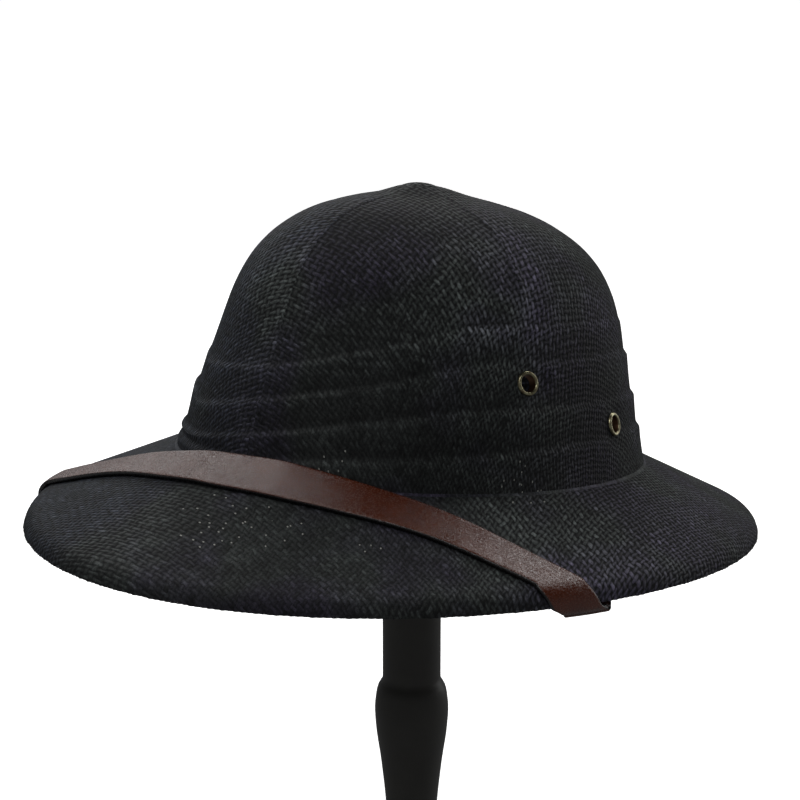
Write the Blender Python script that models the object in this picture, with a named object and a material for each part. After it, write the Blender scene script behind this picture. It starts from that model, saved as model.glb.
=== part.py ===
"""Straw jungle hat on a plain turned display stand.

Metres, +Z up. The origin is the middle of the stand's underside. The hat's front looks along -Y and the
wearer's left is +X. The hat is worked out in its own frame, whose origin is the middle of the rim's plane,
and an empty pitches that frame back on the stand. A direction round the hat is an angle from the front
towards the wearer's left.
"""

import math

import bmesh
import bpy
from mathutils import Vector

# Clearance between pieces that touch
CLEARANCE = 0.0003

# Where the hat sits
RIM_HEIGHT = 0.230
HAT_FORWARD = 0.004
HAT_PITCH = 6.0

# Crown
CROWN_HALF_LENGTH = 0.106
CROWN_HALF_WIDTH = 0.092
CROWN_BACK = 0.0027
CROWN_HEIGHT = 0.1110
CROWN_TOP_FORWARD = 0.0085
CROWN_FOOT = 0.0287
CROWN_WALL = 0.0018

# Brim
BRIM_HALF_LENGTH = 0.1658
BRIM_HALF_WIDTH = 0.1419
BRIM_BACK = -0.0030
BRIM_THICKNESS = 0.0020
BRIM_EDGE_RADIUS = 0.0080
BRIM_FRONT_DIP = 0.0037
BRIM_SIDE_LIFT = 0.0017

# Folds and seams
FOLD_RELIEF = 0.0011
FOLD_LEDGE = 0.0014
SEAM_RELIEF = 0.0008
SEAM_HALF_WIDTH = 0.0026
SEAM_FADE = 0.0110

# Eyelets
EYELET_RADIUS = 0.0051
EYELET_BARREL_RADIUS = 0.0038
EYELET_BORE_RADIUS = 0.0033
EYELET_HEIGHT = 0.0010
EYELET_BARREL_LENGTH = 0.0032
EYELET_FLAT_RADIUS = 0.0085
EYELET_FLAT_MARGIN = 0.0070

# Top button
BUTTON_RADIUS = 0.0072
BUTTON_HEIGHT = 0.0018

# Chin strap
STRAP_WIDTH = 0.0165
STRAP_THICKNESS = 0.0020
STRAP_ANCHOR_RISE = 0.0220
STRAP_SWEEP = 5.0
STRAP_TWIST = 2.5
STRAP_TURN_SHARE = 0.45
STRAP_STEEPEST = 85.0
STRAP_LEAN_STEP = 0.1

# Stand
BASE_RADIUS = 0.0750
BASE_THICKNESS = 0.0160
POST_RADIUS = 0.0125
TENON_RADIUS = 0.0070
TENON_LENGTH = 0.0080
HEAD_RADIUS = 0.0420
HEAD_THICKNESS = 0.0220
HEAD_DOME_RADIUS = 0.1100
HEAD_DOME_ROWS = (0.25, 0.50, 0.75, 0.92)

# The head is seated on the crown's inside above this share of CROWN_HEIGHT, tried at this many steps
SEAT_FROM_SHARE = 0.70
SEAT_STEPS = 60

# Half outline of the crown: height as a share of CROWN_HEIGHT, girth as a share of the crown's foot, and
# how far its middle has moved forward as a share of CROWN_TOP_FORWARD
CROWN_OUTLINE = (
    (0.00, 1.000, 0.00),
    (0.10, 0.966, 0.00),
    (0.20, 0.937, 0.00),
    (0.30, 0.905, -0.04),
    (0.40, 0.873, -0.10),
    (0.50, 0.843, -0.15),
    (0.60, 0.807, -0.16),
    (0.70, 0.750, -0.12),
    (0.78, 0.675, -0.03),
    (0.85, 0.570, 0.14),
    (0.905, 0.438, 0.42),
    (0.94, 0.296, 0.60),
    (0.96, 0.196, 0.62),
    (0.98, 0.118, 0.78),
    (0.993, 0.069, 0.97),
    (1.00, 0.000, 1.00),
)

# Height of each pressed fold as a share of CROWN_HEIGHT, and how proud it stands as a share of FOLD_RELIEF,
# at each of these directions
FOLD_DIRECTIONS = (-90.0, -48.0, -30.0, 0.0, 30.0, 60.0, 110.0, 180.0)
FOLDS = (
    (0.040, 0.036, 0.036, 0.050, 0.090, 0.122, 0.150, 0.070),
    (0.098, 0.080, 0.078, 0.132, 0.212, 0.268, 0.272, 0.180),
    (0.240, 0.235, 0.188, 0.250, 0.332, 0.418, 0.430, 0.290),
    (0.370, 0.350, 0.328, 0.365, 0.457, 0.548, 0.553, 0.410),
)
FOLD_STRENGTHS = (
    (0.6, 0.6, 0.7, 0.9, 0.9, 0.9, 1.0, 0.9),
    (1.0, 1.0, 0.9, 1.0, 1.0, 1.0, 1.0, 1.0),
    (1.0, 1.0, 0.9, 1.0, 1.0, 1.0, 1.0, 1.0),
    (0.4, 0.4, 0.8, 1.0, 1.0, 0.8, 0.4, 0.4),
)

# Outer mesh rows above the folds, as shares of CROWN_HEIGHT
CROWN_UPPER_ROWS = (0.62, 0.70, 0.77, 0.83, 0.88, 0.92, 0.95, 0.975, 0.99)

# Directions of the seams between the five gores
SEAMS = (0.0, 70.0, 144.0, 216.0, 290.0)

# Each eyelet: name, direction, height as a share of CROWN_HEIGHT
EYELETS = (
    ("eyelet_left_front", 70.0, 0.365),
    ("eyelet_left_rear", 101.0, 0.195),
    ("eyelet_right_front", -70.0, 0.365),
    ("eyelet_right_rear", -101.0, 0.195),
)

# Half section of an eyelet's flange: share of the way from barrel to rim, height as a share of
# EYELET_HEIGHT
EYELET_ROLL = (
    (0.00, 1.00),
    (0.50, 0.90),
    (1.00, 0.30),
    (1.00, 0.00),
    (0.00, 0.00),
)

# Half outline of the button's side: share of BUTTON_RADIUS, height as a share of its edge's way to its peak
BUTTON_OUTLINE = (
    (0.34, 0.91),
    (0.64, 0.69),
    (0.86, 0.42),
    (0.97, 0.19),
    (1.00, 0.07),
    (0.94, 0.00),
)

# Outer edge of the strap on the brim: direction, distance out as a share of the brim's width there
STRAP_EDGE = (
    (-52.0, 0.91),
    (-46.5, 0.72),
    (-40.0, 0.53),
    (-30.0, 0.345),
    (-18.0, 0.230),
    (-6.0, 0.165),
    (8.0, 0.150),
    (21.0, 0.185),
    (32.0, 0.255),
    (41.0, 0.350),
    (48.5, 0.485),
    (55.0, 0.670),
    (61.0, 0.900),
)
STRAP_ANCHORS = (-86.0, 90.0)

# Half outline of the post: height as a share of RIM_HEIGHT, radius as a share of POST_RADIUS
POST_OUTLINE = (
    (0.685, 1.000),
    (0.677, 1.010),
    (0.669, 1.130),
    (0.650, 1.225),
    (0.620, 1.273),
    (0.585, 1.235),
    (0.515, 1.060),
    (0.431, 0.900),
    (0.340, 0.800),
    (0.250, 0.830),
    (0.190, 1.000),
    (0.170, 1.300),
    (0.150, 1.400),
    (0.130, 1.300),
    (0.120, 1.150),
    (0.105, 1.500),
    (0.085, 1.650),
)

# Half outline of the head's side: share of HEAD_RADIUS, height as a share of HEAD_THICKNESS
HEAD_OUTLINE = (
    (1.00, 0.50),
    (1.00, 0.22),
    (0.80, 0.00),
)

# Half outline of the base: share of BASE_RADIUS, height as a share of BASE_THICKNESS
BASE_OUTLINE = (
    (0.42, 1.00),
    (0.75, 0.86),
    (0.93, 0.66),
    (0.985, 0.50),
    (1.00, 0.30),
    (0.985, 0.00),
)

# Mesh density
GORE_COLUMNS = 9
INNER_ROWS = 11
INNER_TOP_SHARE = 0.985
BRIM_ROWS = 4
EYELET_SIDES = 14
STAND_SIDES = 28
BUTTON_SIDES = 20
STRAP_ROWS = 26
ARC_STEPS = 4


def clear_scene():
    for old in list(bpy.data.objects):
        bpy.data.objects.remove(old, do_unlink=True)


def material(name, colour, roughness, metallic=0.0):
    made = bpy.data.materials.new(name)
    made.use_nodes = True
    shader = made.node_tree.nodes["Principled BSDF"]
    shader.inputs["Base Color"].default_value = (*colour, 1.0)
    shader.inputs["Roughness"].default_value = roughness
    shader.inputs["Metallic"].default_value = metallic
    return made


def smooth_through(rows, x):
    """Value at x on a smooth curve through the rows (x, value), without overshoot."""
    if x <= rows[0][0]:
        return rows[0][1]
    if x >= rows[-1][0]:
        return rows[-1][1]
    steps = [rows[i + 1][0] - rows[i][0] for i in range(len(rows) - 1)]
    slopes = [(rows[i + 1][1] - rows[i][1]) / steps[i] for i in range(len(steps))]
    i = max(k for k in range(len(steps)) if rows[k][0] <= x)

    def tangent(k):
        if k == 0:
            return slopes[0]
        if k == len(steps):
            return slopes[-1]
        if slopes[k - 1] * slopes[k] <= 0.0:
            return 0.0
        return 2.0 / (1.0 / slopes[k - 1] + 1.0 / slopes[k])

    u = (x - rows[i][0]) / steps[i]
    start = rows[i][1] * (1 + 2 * u) + steps[i] * tangent(i) * u
    end = rows[i + 1][1] * (3 - 2 * u) - steps[i] * tangent(i + 1) * (1 - u)
    return start * (1 - u) ** 2 + end * u**2


def smoothstep(low, high, x):
    u = min(1.0, max(0.0, (x - low) / (high - low)))
    return u * u * (3 - 2 * u)


def around(direction):
    """The same direction between -180 and 180 degrees."""
    return (direction + 180.0) % 360.0 - 180.0


# Crown surface


def round_the_hat(values, direction):
    """Value at a direction, from one value at each of the FOLD_DIRECTIONS."""
    rows = list(zip(FOLD_DIRECTIONS, values))
    before = (FOLD_DIRECTIONS[-1] - 360.0, values[-1])
    after = (FOLD_DIRECTIONS[0] + 360.0, values[0])
    return smooth_through([before, *rows, after], around(direction))


def fold_height(fold, direction):
    """Height of a fold's ledge above the crown's foot."""
    return CROWN_HEIGHT * round_the_hat(fold, direction)


def crown_middle(height):
    """How far back the middle of the crown lies at a height."""
    rows = [(share, forward) for share, _, forward in CROWN_OUTLINE]
    return CROWN_BACK - CROWN_TOP_FORWARD * smooth_through(rows, height / CROWN_HEIGHT)


def crown_girth(height):
    """Girth of the crown at a height, as a share of its foot's."""
    return smooth_through([(share, girth) for share, girth, _ in CROWN_OUTLINE], height / CROWN_HEIGHT)


def crown_face(direction, height, proud=0.0):
    """Point on the crown's plain outer face, or that far out from it in plan."""
    t = math.radians(direction)
    wide = CROWN_HALF_WIDTH * crown_girth(height) + proud
    long = CROWN_HALF_LENGTH * crown_girth(height) + proud
    return Vector((wide * math.sin(t), crown_middle(height) - long * math.cos(t), CROWN_FOOT + height))


def crown_normal(direction, height):
    """Outward normal of the crown's plain face."""
    turn = 0.5
    rise = CROWN_HEIGHT / 200.0
    across = crown_face(direction + turn, height) - crown_face(direction - turn, height)
    up = crown_face(direction, height + rise) - crown_face(direction, height - rise)
    return across.cross(up).normalized()


def flat_by_eyelets(direction, height):
    """0 where an eyelet presses the folds flat, 1 away from it."""
    here = crown_face(direction, height)
    keep = 1.0
    for _, where, share in EYELETS:
        away = (here - crown_face(where, share * CROWN_HEIGHT)).length
        keep *= smoothstep(EYELET_FLAT_RADIUS, EYELET_FLAT_RADIUS + EYELET_FLAT_MARGIN, away)
    return keep


def fold_relief(direction, height):
    """How far the folds stand proud: each grows up to its ledge and steps back in above it."""
    low = 0.0
    for fold, strengths in zip(FOLDS, FOLD_STRENGTHS):
        top = fold_height(fold, direction)
        if height < top + FOLD_LEDGE:
            rising = max(0.0, (height - low) / (top - low))
            falling = 1.0 - (height - top) / FOLD_LEDGE
            proud = FOLD_RELIEF * min(rising, falling) * round_the_hat(strengths, direction)
            return proud * flat_by_eyelets(direction, height)
        low = top + FOLD_LEDGE
    return 0.0


def crown_outside(direction, height):
    """Point on the crown's real outer face, folds included."""
    return crown_face(direction, height, fold_relief(direction, height))


def crown_columns():
    """Directions of the crown's and the brim's mesh columns, closer together at the seams."""
    half = math.degrees(SEAM_HALF_WIDTH / CROWN_HALF_LENGTH)
    columns = []
    for i, seam in enumerate(SEAMS):
        following = SEAMS[(i + 1) % len(SEAMS)] + (360.0 if i + 1 == len(SEAMS) else 0.0)
        columns += [seam, seam + half]
        step = (following - seam - 2 * half) / (GORE_COLUMNS + 1)
        columns += [seam + half + step * (k + 1) for k in range(GORE_COLUMNS)]
        columns.append(following - half)
    return columns


def crown_heights(direction):
    """Heights of the outer mesh rows, foot to top, following the folds and then level."""
    heights = [-foot_depth(direction), 0.0]
    for fold in FOLDS:
        top = fold_height(fold, direction)
        heights += [(heights[-1] + top) / 2, top, top + FOLD_LEDGE]
    last = heights[-1]
    shoulder = CROWN_UPPER_ROWS[0] * CROWN_HEIGHT
    heights += [last + (shoulder - last) * k / 3 for k in (1, 2)]
    heights += [share * CROWN_HEIGHT for share in CROWN_UPPER_ROWS]
    return heights


def seam_relief(direction, height):
    """How far a seam's ridge stands proud, fading out at the top fold and at the button."""
    fold_top = fold_height(FOLDS[-1], direction)
    proud = SEAM_RELIEF * smoothstep(fold_top, fold_top + SEAM_FADE, height)
    button_edge = crown_top(BUTTON_RADIUS) - CROWN_FOOT
    proud *= smoothstep(button_edge, button_edge - SEAM_FADE / 2, height)
    return proud * flat_by_eyelets(direction, height)


def build_crown(straw):
    columns = crown_columns()
    rows = [crown_heights(c) for c in columns]
    outer = []
    for r in range(len(rows[0]) - 1, -1, -1):
        ring = []
        for column, heights in zip(columns, rows):
            height = heights[r]
            point = crown_outside(column, height)
            if column in SEAMS:
                point += crown_normal(column, height) * seam_relief(column, height)
            ring.append(point)
        outer.append(ring)
    inner = [[crown_inside(c, 0.0) - Vector((0, 0, foot_depth(c))) for c in columns]]
    for k in range(INNER_ROWS):
        share = INNER_TOP_SHARE * math.sin(math.pi / 2 * k / (INNER_ROWS - 1))
        inner.append([crown_inside(c, share * CROWN_HEIGHT) for c in columns])
    top = crown_face(0, CROWN_HEIGHT)
    poles = (top, top - Vector((0, 0, CROWN_WALL)))
    crown = loft("crown", outer + inner, straw, poles=poles)
    for name, direction, share in EYELETS:
        cut_eyelet_hole(crown, name, direction, share)
    return crown


def crown_inside(direction, height):
    """Point on the crown's smooth inner face, opposite the given height."""
    return crown_face(direction, height) - crown_normal(direction, height) * CROWN_WALL


# Brim surface


def brim_rim(direction):
    """Lower outer edge of the brim."""
    t = math.radians(direction)
    z = -BRIM_FRONT_DIP * math.cos(t) - BRIM_SIDE_LIFT * math.cos(2 * t)
    return Vector((BRIM_HALF_WIDTH * math.sin(t), BRIM_BACK - BRIM_HALF_LENGTH * math.cos(t), z))


def brim_section(direction):
    """Start, outward direction, slope and straight length of the brim's upper face."""
    start = crown_face(direction, 0.0)
    rim = brim_rim(direction)
    out = Vector((rim.x - start.x, rim.y - start.y, 0))
    width = out.length
    out.normalize()
    start = start + out * CLEARANCE
    width -= CLEARANCE
    drop = start.z - rim.z
    slope = math.atan2(drop, width)
    for _ in range(12):
        rise = drop - BRIM_EDGE_RADIUS * math.cos(slope)
        run = width - BRIM_EDGE_RADIUS * (1 - math.sin(slope))
        slope = math.atan2(rise, run)
    return start, out, slope, math.hypot(rise, run)


def foot_depth(direction):
    """How far the crown's wall reaches below the brim's upper face."""
    slope = brim_section(direction)[2]
    return BRIM_THICKNESS / math.cos(slope)


def brim_straight(direction, run, off):
    """Point on the brim's straight upper face, off it along its normal."""
    start, out, slope, _ = brim_section(direction)
    down = out * math.cos(slope) - Vector((0, 0, math.sin(slope)))
    normal = out * math.sin(slope) + Vector((0, 0, math.cos(slope)))
    return start + down * run + normal * off


def brim_edge(direction, angle, off):
    """Point on the turned-down edge, where the face has turned down to the angle."""
    start, out, slope, straight = brim_section(direction)
    centre = brim_straight(direction, straight, -BRIM_EDGE_RADIUS)
    normal = out * math.sin(angle) + Vector((0, 0, math.cos(angle)))
    return centre + normal * (BRIM_EDGE_RADIUS + off)


def build_brim(straw):
    columns = crown_columns()
    sections = []
    for column in columns:
        start, out, slope, straight = brim_section(column)
        angles = [slope + (math.pi / 2 - slope) * k / ARC_STEPS for k in range(ARC_STEPS + 1)]
        runs = [straight * k / BRIM_ROWS for k in range(BRIM_ROWS)]
        top = [brim_straight(column, run, 0.0) for run in runs]
        top += [brim_edge(column, angle, 0.0) for angle in angles]
        below = [brim_edge(column, angle, -BRIM_THICKNESS) for angle in reversed(angles)]
        below += [brim_straight(column, run, -BRIM_THICKNESS) for run in reversed(runs[1:])]
        below.append(start - Vector((0, 0, foot_depth(column))))
        sections.append(top + below)
    rings = [[section[k] for section in sections] for k in range(len(sections[0]))]
    return loft("brim", rings, straw, closed=True)


# Chin strap


def brim_place(x, y):
    """Direction and share of the brim's width of a place in plan."""

    def girths(share):
        wide = CROWN_HALF_WIDTH + (BRIM_HALF_WIDTH - CROWN_HALF_WIDTH) * share
        long = CROWN_HALF_LENGTH + (BRIM_HALF_LENGTH - CROWN_HALF_LENGTH) * share
        back = CROWN_BACK + (BRIM_BACK - CROWN_BACK) * share
        return x / wide, (back - y) / long

    low, high = -0.9, 1.5
    for _ in range(40):
        middle = (low + high) / 2
        if math.hypot(*girths(middle)) > 1.0:
            low = middle
        else:
            high = middle
    side, front = girths(low)
    return math.degrees(math.atan2(side, front)), low


def rests_clear(point):
    """Whether a point is clear of the brim's upper face and of the crown."""
    direction, share = brim_place(point.x, point.y)
    start, out, slope, _ = brim_section(direction)
    away = (point - start).dot(out)
    above = point.z - start.z + away * math.tan(slope)
    if away > 0.0 and above < CLEARANCE / math.cos(slope):
        return False
    height = max(0.0, point.z - CROWN_FOOT)
    middle = Vector((0, crown_middle(height)))
    wall = crown_outside(direction, height).xy - middle
    return (point.xy - middle).length > wall.length + CLEARANCE


def brim_above(direction, share, off):
    """Point over the brim's straight upper face at a share of the brim's width."""
    start, out, slope, _ = brim_section(direction)
    width = (brim_rim(direction) - start).dot(out)
    return brim_straight(direction, share * width / math.cos(slope), off)


def lifted(point):
    """The point, raised where it would touch the brim's upper face."""
    direction, _ = brim_place(point.x, point.y)
    start, out, slope, _ = brim_section(direction)
    away = (point - start).dot(out)
    lowest = start.z - away * math.tan(slope) + CLEARANCE / math.cos(slope)
    return Vector((point.x, point.y, max(point.z, lowest)))


def strap_lean(foot, inward):
    """Smallest angle, in degrees, at which the strap clears the hat when its outer edge is on the brim."""
    flat, steep = 0.0, STRAP_STEEPEST
    while steep - flat > STRAP_LEAN_STEP:
        lean = (flat + steep) / 2
        a = math.radians(lean)
        if rests_clear(foot + STRAP_WIDTH * (inward * math.cos(a) + Vector((0, 0, math.sin(a))))):
            steep = lean
        else:
            flat = lean
    return steep


def strap_top_edges():
    """Outer and inner edge of the strap's inner face where it lies over the front of the brim."""
    first, last = STRAP_EDGE[0][0], STRAP_EDGE[-1][0]
    outer = []
    for k in range(STRAP_ROWS + 1):
        direction = first + (last - first) * k / STRAP_ROWS
        outer.append(brim_above(direction, smooth_through(STRAP_EDGE, direction), CLEARANCE))
    inward = []
    for k in range(STRAP_ROWS + 1):
        along = outer[min(k + 1, STRAP_ROWS)] - outer[max(k - 1, 0)]
        inward.append(Vector((-along.y, along.x, 0)).normalized())
    needed = [strap_lean(foot, side) for foot, side in zip(outer, inward)]
    inner = []
    for k, (foot, side) in enumerate(zip(outer, inward)):
        lean = max(need - STRAP_TWIST * abs(k - n) for n, need in enumerate(needed))
        a = math.radians(lean)
        inner.append(foot + STRAP_WIDTH * (side * math.cos(a) + Vector((0, 0, math.sin(a)))))
    return outer, inner


def strap_run_out(inner, share):
    """Points that carry the inner edge straight on until it is as far out on the brim as the outer edge."""
    step = inner[-1] - inner[-2]
    point = inner[-1]
    reached = brim_place(point.x, point.y)[1]
    added = []
    part = 1.0
    while part == 1.0 and len(added) < STRAP_ROWS:
        onward = brim_place(point.x + step.x, point.y + step.y)[1]
        part = min(1.0, max(0.0, (share - reached) / (onward - reached)))
        point = point + step * part
        direction, reached = brim_place(point.x, point.y)
        added.append(brim_above(direction, reached, CLEARANCE))
    return added


def strap_top_rows():
    """Rows across the strap over the front of the brim, turning along the rim at both ends."""
    outer, inner = strap_top_edges()
    before = strap_run_out(inner[::-1], STRAP_EDGE[0][1])[::-1]
    after = strap_run_out(inner, STRAP_EDGE[-1][1])
    line = before + inner + after
    rows = []
    for k, foot in enumerate(outer):
        ahead = len(after) * smoothstep(1.0 - STRAP_TURN_SHARE, 1.0, k / STRAP_ROWS)
        behind = len(before) * smoothstep(STRAP_TURN_SHARE, 0.0, k / STRAP_ROWS)
        place = len(before) + k + ahead - behind
        whole = min(int(place), len(line) - 2)
        edge = lifted(line[whole].lerp(line[whole + 1], place - whole))
        rows.append((edge, lifted((edge + foot) / 2), foot))
    return rows


def strap_wrap_rows(row, side):
    """Rows that take the strap round the turned-down edge, from the last row on the brim."""
    places = [brim_place(point.x, point.y)[0] for point in row]
    rows = []
    for k in range(1, 2 * ARC_STEPS + 1):
        share = k / (2 * ARC_STEPS)
        edges = []
        for place in places:
            direction = place + side * STRAP_SWEEP * share
            slope = brim_section(direction)[2]
            if k <= ARC_STEPS:
                angle = slope + (math.pi / 2 - slope) * k / ARC_STEPS
                edges.append(brim_edge(direction, angle, CLEARANCE))
            else:
                turned = math.pi / 2 * (1 + (k - ARC_STEPS) / ARC_STEPS)
                middle = brim_edge(direction, math.pi / 2, -BRIM_THICKNESS / 2)
                out = brim_section(direction)[1]
                normal = out * math.sin(turned) + Vector((0, 0, math.cos(turned)))
                edges.append(middle + normal * (BRIM_THICKNESS / 2 + CLEARANCE))
        rows.append(tuple(edges))
    return rows


def strap_anchor_rows(anchor, side):
    """Rows up the inside of the crown, where the strap is sewn on."""
    inset = CROWN_WALL + CLEARANCE
    half = math.degrees(STRAP_WIDTH / 2 / (CROWN_HALF_LENGTH - inset))
    rows = []
    for height in (-2 * BRIM_THICKNESS, 0.0, STRAP_ANCHOR_RISE / 2, STRAP_ANCHOR_RISE):
        edges = []
        for direction in (anchor + side * half, anchor, anchor - side * half):
            level = max(0.0, height)
            point = crown_face(direction, level) - crown_normal(direction, level) * inset
            edges.append(point + Vector((0, 0, height - level)))
        rows.append(tuple(edges))
    return rows


def between(first, last, share):
    return tuple(a.lerp(b, share) for a, b in zip(first, last))


def strap_rows():
    """Inner face of the whole strap, from the right-hand anchor to the left-hand one."""
    top = strap_top_rows()
    halves = []
    for row, anchor, side in ((top[0], STRAP_ANCHORS[0], -1), (top[-1], STRAP_ANCHORS[1], 1)):
        wrap = strap_wrap_rows(row, side)
        inside = strap_anchor_rows(anchor, side)
        below = [between(wrap[-1], inside[0], k / 3) for k in (1, 2)]
        halves.append(wrap + below + inside)
    return halves[0][::-1] + top + halves[1]


def strap_sections(rows):
    """Corners of the strap at each row, its thickness set off from the inner face."""
    sections = []
    for k, row in enumerate(rows):
        before = rows[max(k - 1, 0)]
        after = rows[min(k + 1, len(rows) - 1)]
        outside = []
        for i, point in enumerate(row):
            across = row[max(i - 1, 0)] - row[min(i + 1, len(row) - 1)]
            off = (after[i] - before[i]).cross(across).normalized()
            outside.append(point + off * STRAP_THICKNESS)
        sections.append([*row, *reversed(outside)])
    return sections


def build_strap(leather):
    return loft("chin_strap", strap_sections(strap_rows()), leather, capped=True)


# Fittings


def eyelet_seat(direction, share):
    """Middle of an eyelet's flange underside, and its outward normal."""
    height = share * CROWN_HEIGHT
    normal = crown_normal(direction, height)
    return crown_face(direction, height) + normal * CLEARANCE, normal


def cut_eyelet_hole(crown, name, direction, share):
    centre, normal = eyelet_seat(direction, share)
    radius = EYELET_BARREL_RADIUS + CLEARANCE
    reach = 3 * CROWN_WALL
    profile = [(radius, reach), (radius, -reach)]
    cutter = turned(name + "_hole", profile, EYELET_SIDES, None)
    place(cutter, centre, normal)
    cutter.hide_render = True
    cutter.display_type = "WIRE"
    cut = crown.modifiers.new(name, "BOOLEAN")
    cut.operation = "DIFFERENCE"
    cut.solver = "EXACT"
    cut.object = cutter


def build_eyelet(name, direction, share, brass):
    flange = EYELET_RADIUS - EYELET_BARREL_RADIUS
    section = [(EYELET_BORE_RADIUS, -EYELET_BARREL_LENGTH), (EYELET_BORE_RADIUS, EYELET_HEIGHT / 2)]
    for way, rise in EYELET_ROLL:
        section.append((EYELET_BARREL_RADIUS + flange * way, EYELET_HEIGHT * rise))
    section.append((EYELET_BARREL_RADIUS, -EYELET_BARREL_LENGTH))
    eyelet = loft(name, [circle(r, z, EYELET_SIDES) for r, z in section], brass, closed=True)
    place(eyelet, *eyelet_seat(direction, share))
    return eyelet


def crown_top(radius):
    """Height of the crown's plain face at a radius round its top."""
    girth = radius / ((CROWN_HALF_LENGTH + CROWN_HALF_WIDTH) / 2)
    low, high = 0.0, CROWN_HEIGHT
    for _ in range(30):
        middle = (low + high) / 2
        if crown_girth(middle) > girth:
            low = middle
        else:
            high = middle
    return CROWN_FOOT + high


def build_button(straw):
    """Low domed button, its underside following the crown's top."""
    edge = crown_top(BUTTON_RADIUS) + CLEARANCE
    bottom = CROWN_FOOT + CROWN_HEIGHT + CLEARANCE
    peak = bottom + BUTTON_HEIGHT
    profile = [(0.0, peak)]
    profile += [(BUTTON_RADIUS * girth, edge + (peak - edge) * rise) for girth, rise in BUTTON_OUTLINE]
    profile += [(BUTTON_RADIUS / 2, crown_top(BUTTON_RADIUS / 2) + CLEARANCE), (0.0, bottom)]
    button = turned("top_button", profile, BUTTON_SIDES, straw)
    place(button, Vector((0, crown_middle(CROWN_HEIGHT), 0)), Vector((0, 0, 1)))
    return button


# Stand


def seat_height(hat_frame):
    """Height of the head's top when its dome just clears the crown's inner face."""
    seats = []
    for turn in range(SEAT_STEPS):
        for step in range(SEAT_STEPS):
            share = SEAT_FROM_SHARE + (1 - SEAT_FROM_SHARE) * step / SEAT_STEPS
            point = hat_frame @ crown_inside(360.0 * turn / SEAT_STEPS, share * CROWN_HEIGHT)
            radius = math.hypot(point.x, point.y)
            if radius <= HEAD_RADIUS + CROWN_WALL:
                seats.append(point.z + head_drop(min(radius, HEAD_RADIUS)))
    return min(seats) - CLEARANCE


def head_drop(radius):
    """How far the head's dome falls away at a radius."""
    return HEAD_DOME_RADIUS - math.sqrt(HEAD_DOME_RADIUS**2 - radius**2)


def build_head(top, black):
    low = top - HEAD_THICKNESS
    profile = [(0.0, top)]
    profile += [(HEAD_RADIUS * share, top - head_drop(HEAD_RADIUS * share)) for share in HEAD_DOME_ROWS]
    profile += [(HEAD_RADIUS * share, low + HEAD_THICKNESS * rise) for share, rise in HEAD_OUTLINE]
    socket = TENON_RADIUS + CLEARANCE
    roof = low + TENON_LENGTH + CLEARANCE
    profile += [(socket, low), (socket, roof), (0.0, roof)]
    return turned("stand_head", profile, STAND_SIDES, black)


def build_post(head_top, black):
    high = head_top - HEAD_THICKNESS - CLEARANCE
    low = BASE_THICKNESS + CLEARANCE
    profile = [(0.0, high + TENON_LENGTH), (TENON_RADIUS, high + TENON_LENGTH)]
    profile += [(TENON_RADIUS, high), (POST_RADIUS, high)]
    profile += [(POST_RADIUS * girth, RIM_HEIGHT * share) for share, girth in POST_OUTLINE]
    profile += [(POST_RADIUS * POST_OUTLINE[-1][1], low), (TENON_RADIUS, low)]
    profile += [(TENON_RADIUS, low - TENON_LENGTH), (0.0, low - TENON_LENGTH)]
    return turned("stand_post", profile, STAND_SIDES, black)


def build_base(black):
    socket = TENON_RADIUS + CLEARANCE
    floor = BASE_THICKNESS - TENON_LENGTH - CLEARANCE
    profile = [(0.0, floor), (socket, floor), (socket, BASE_THICKNESS)]
    profile += [(BASE_RADIUS * share, BASE_THICKNESS * rise) for share, rise in BASE_OUTLINE]
    profile.append((0.0, 0.0))
    return turned("stand_base", profile, STAND_SIDES, black)


# Mesh helpers


def circle(radius, z, sides):
    turns = [2 * math.pi * k / sides for k in range(sides)]
    return [Vector((radius * math.cos(a), radius * math.sin(a), z)) for a in turns]


def turned(name, profile, sides, finish):
    """Turned solid from (radius, height) points, ends on the axis or left flat."""
    rings = [circle(r, z, sides) for r, z in profile if r > 0.0]
    if profile[0][0] == 0.0 and profile[-1][0] == 0.0:
        poles = (Vector((0, 0, profile[0][1])), Vector((0, 0, profile[-1][1])))
        return loft(name, rings, finish, poles=poles)
    return loft(name, rings, finish, capped=True)


def loft(name, rings, finish, closed=False, capped=False, poles=None):
    """Closed body through rings of as many points, the ends joined, capped or run to a pole."""
    mesh = bmesh.new()
    loops = [[mesh.verts.new(point) for point in ring] for ring in rings]
    pairs = list(zip(loops, loops[1:]))
    if closed:
        pairs.append((loops[-1], loops[0]))
    for one, other in pairs:
        for k in range(len(one)):
            n = (k + 1) % len(one)
            mesh.faces.new((one[k], one[n], other[n], other[k]))
    if capped:
        mesh.faces.new(loops[0])
        mesh.faces.new(loops[-1])
    if poles:
        for pole, loop in zip(poles, (loops[0], loops[-1])):
            tip = mesh.verts.new(pole)
            for k in range(len(loop)):
                mesh.faces.new((tip, loop[k], loop[(k + 1) % len(loop)]))
    bmesh.ops.recalc_face_normals(mesh, faces=mesh.faces)
    data = bpy.data.meshes.new(name)
    mesh.to_mesh(data)
    mesh.free()
    data.shade_smooth()
    data.set_sharp_from_angle(angle=math.radians(40))
    made = bpy.data.objects.new(name, data)
    if finish:
        data.materials.append(finish)
    bpy.context.scene.collection.objects.link(made)
    return made


def place(made, centre, axis):
    """Set an object's origin at the centre with its Z along the axis."""
    made.location = centre
    made.rotation_euler = axis.to_track_quat("Z", "Y").to_euler()


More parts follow.
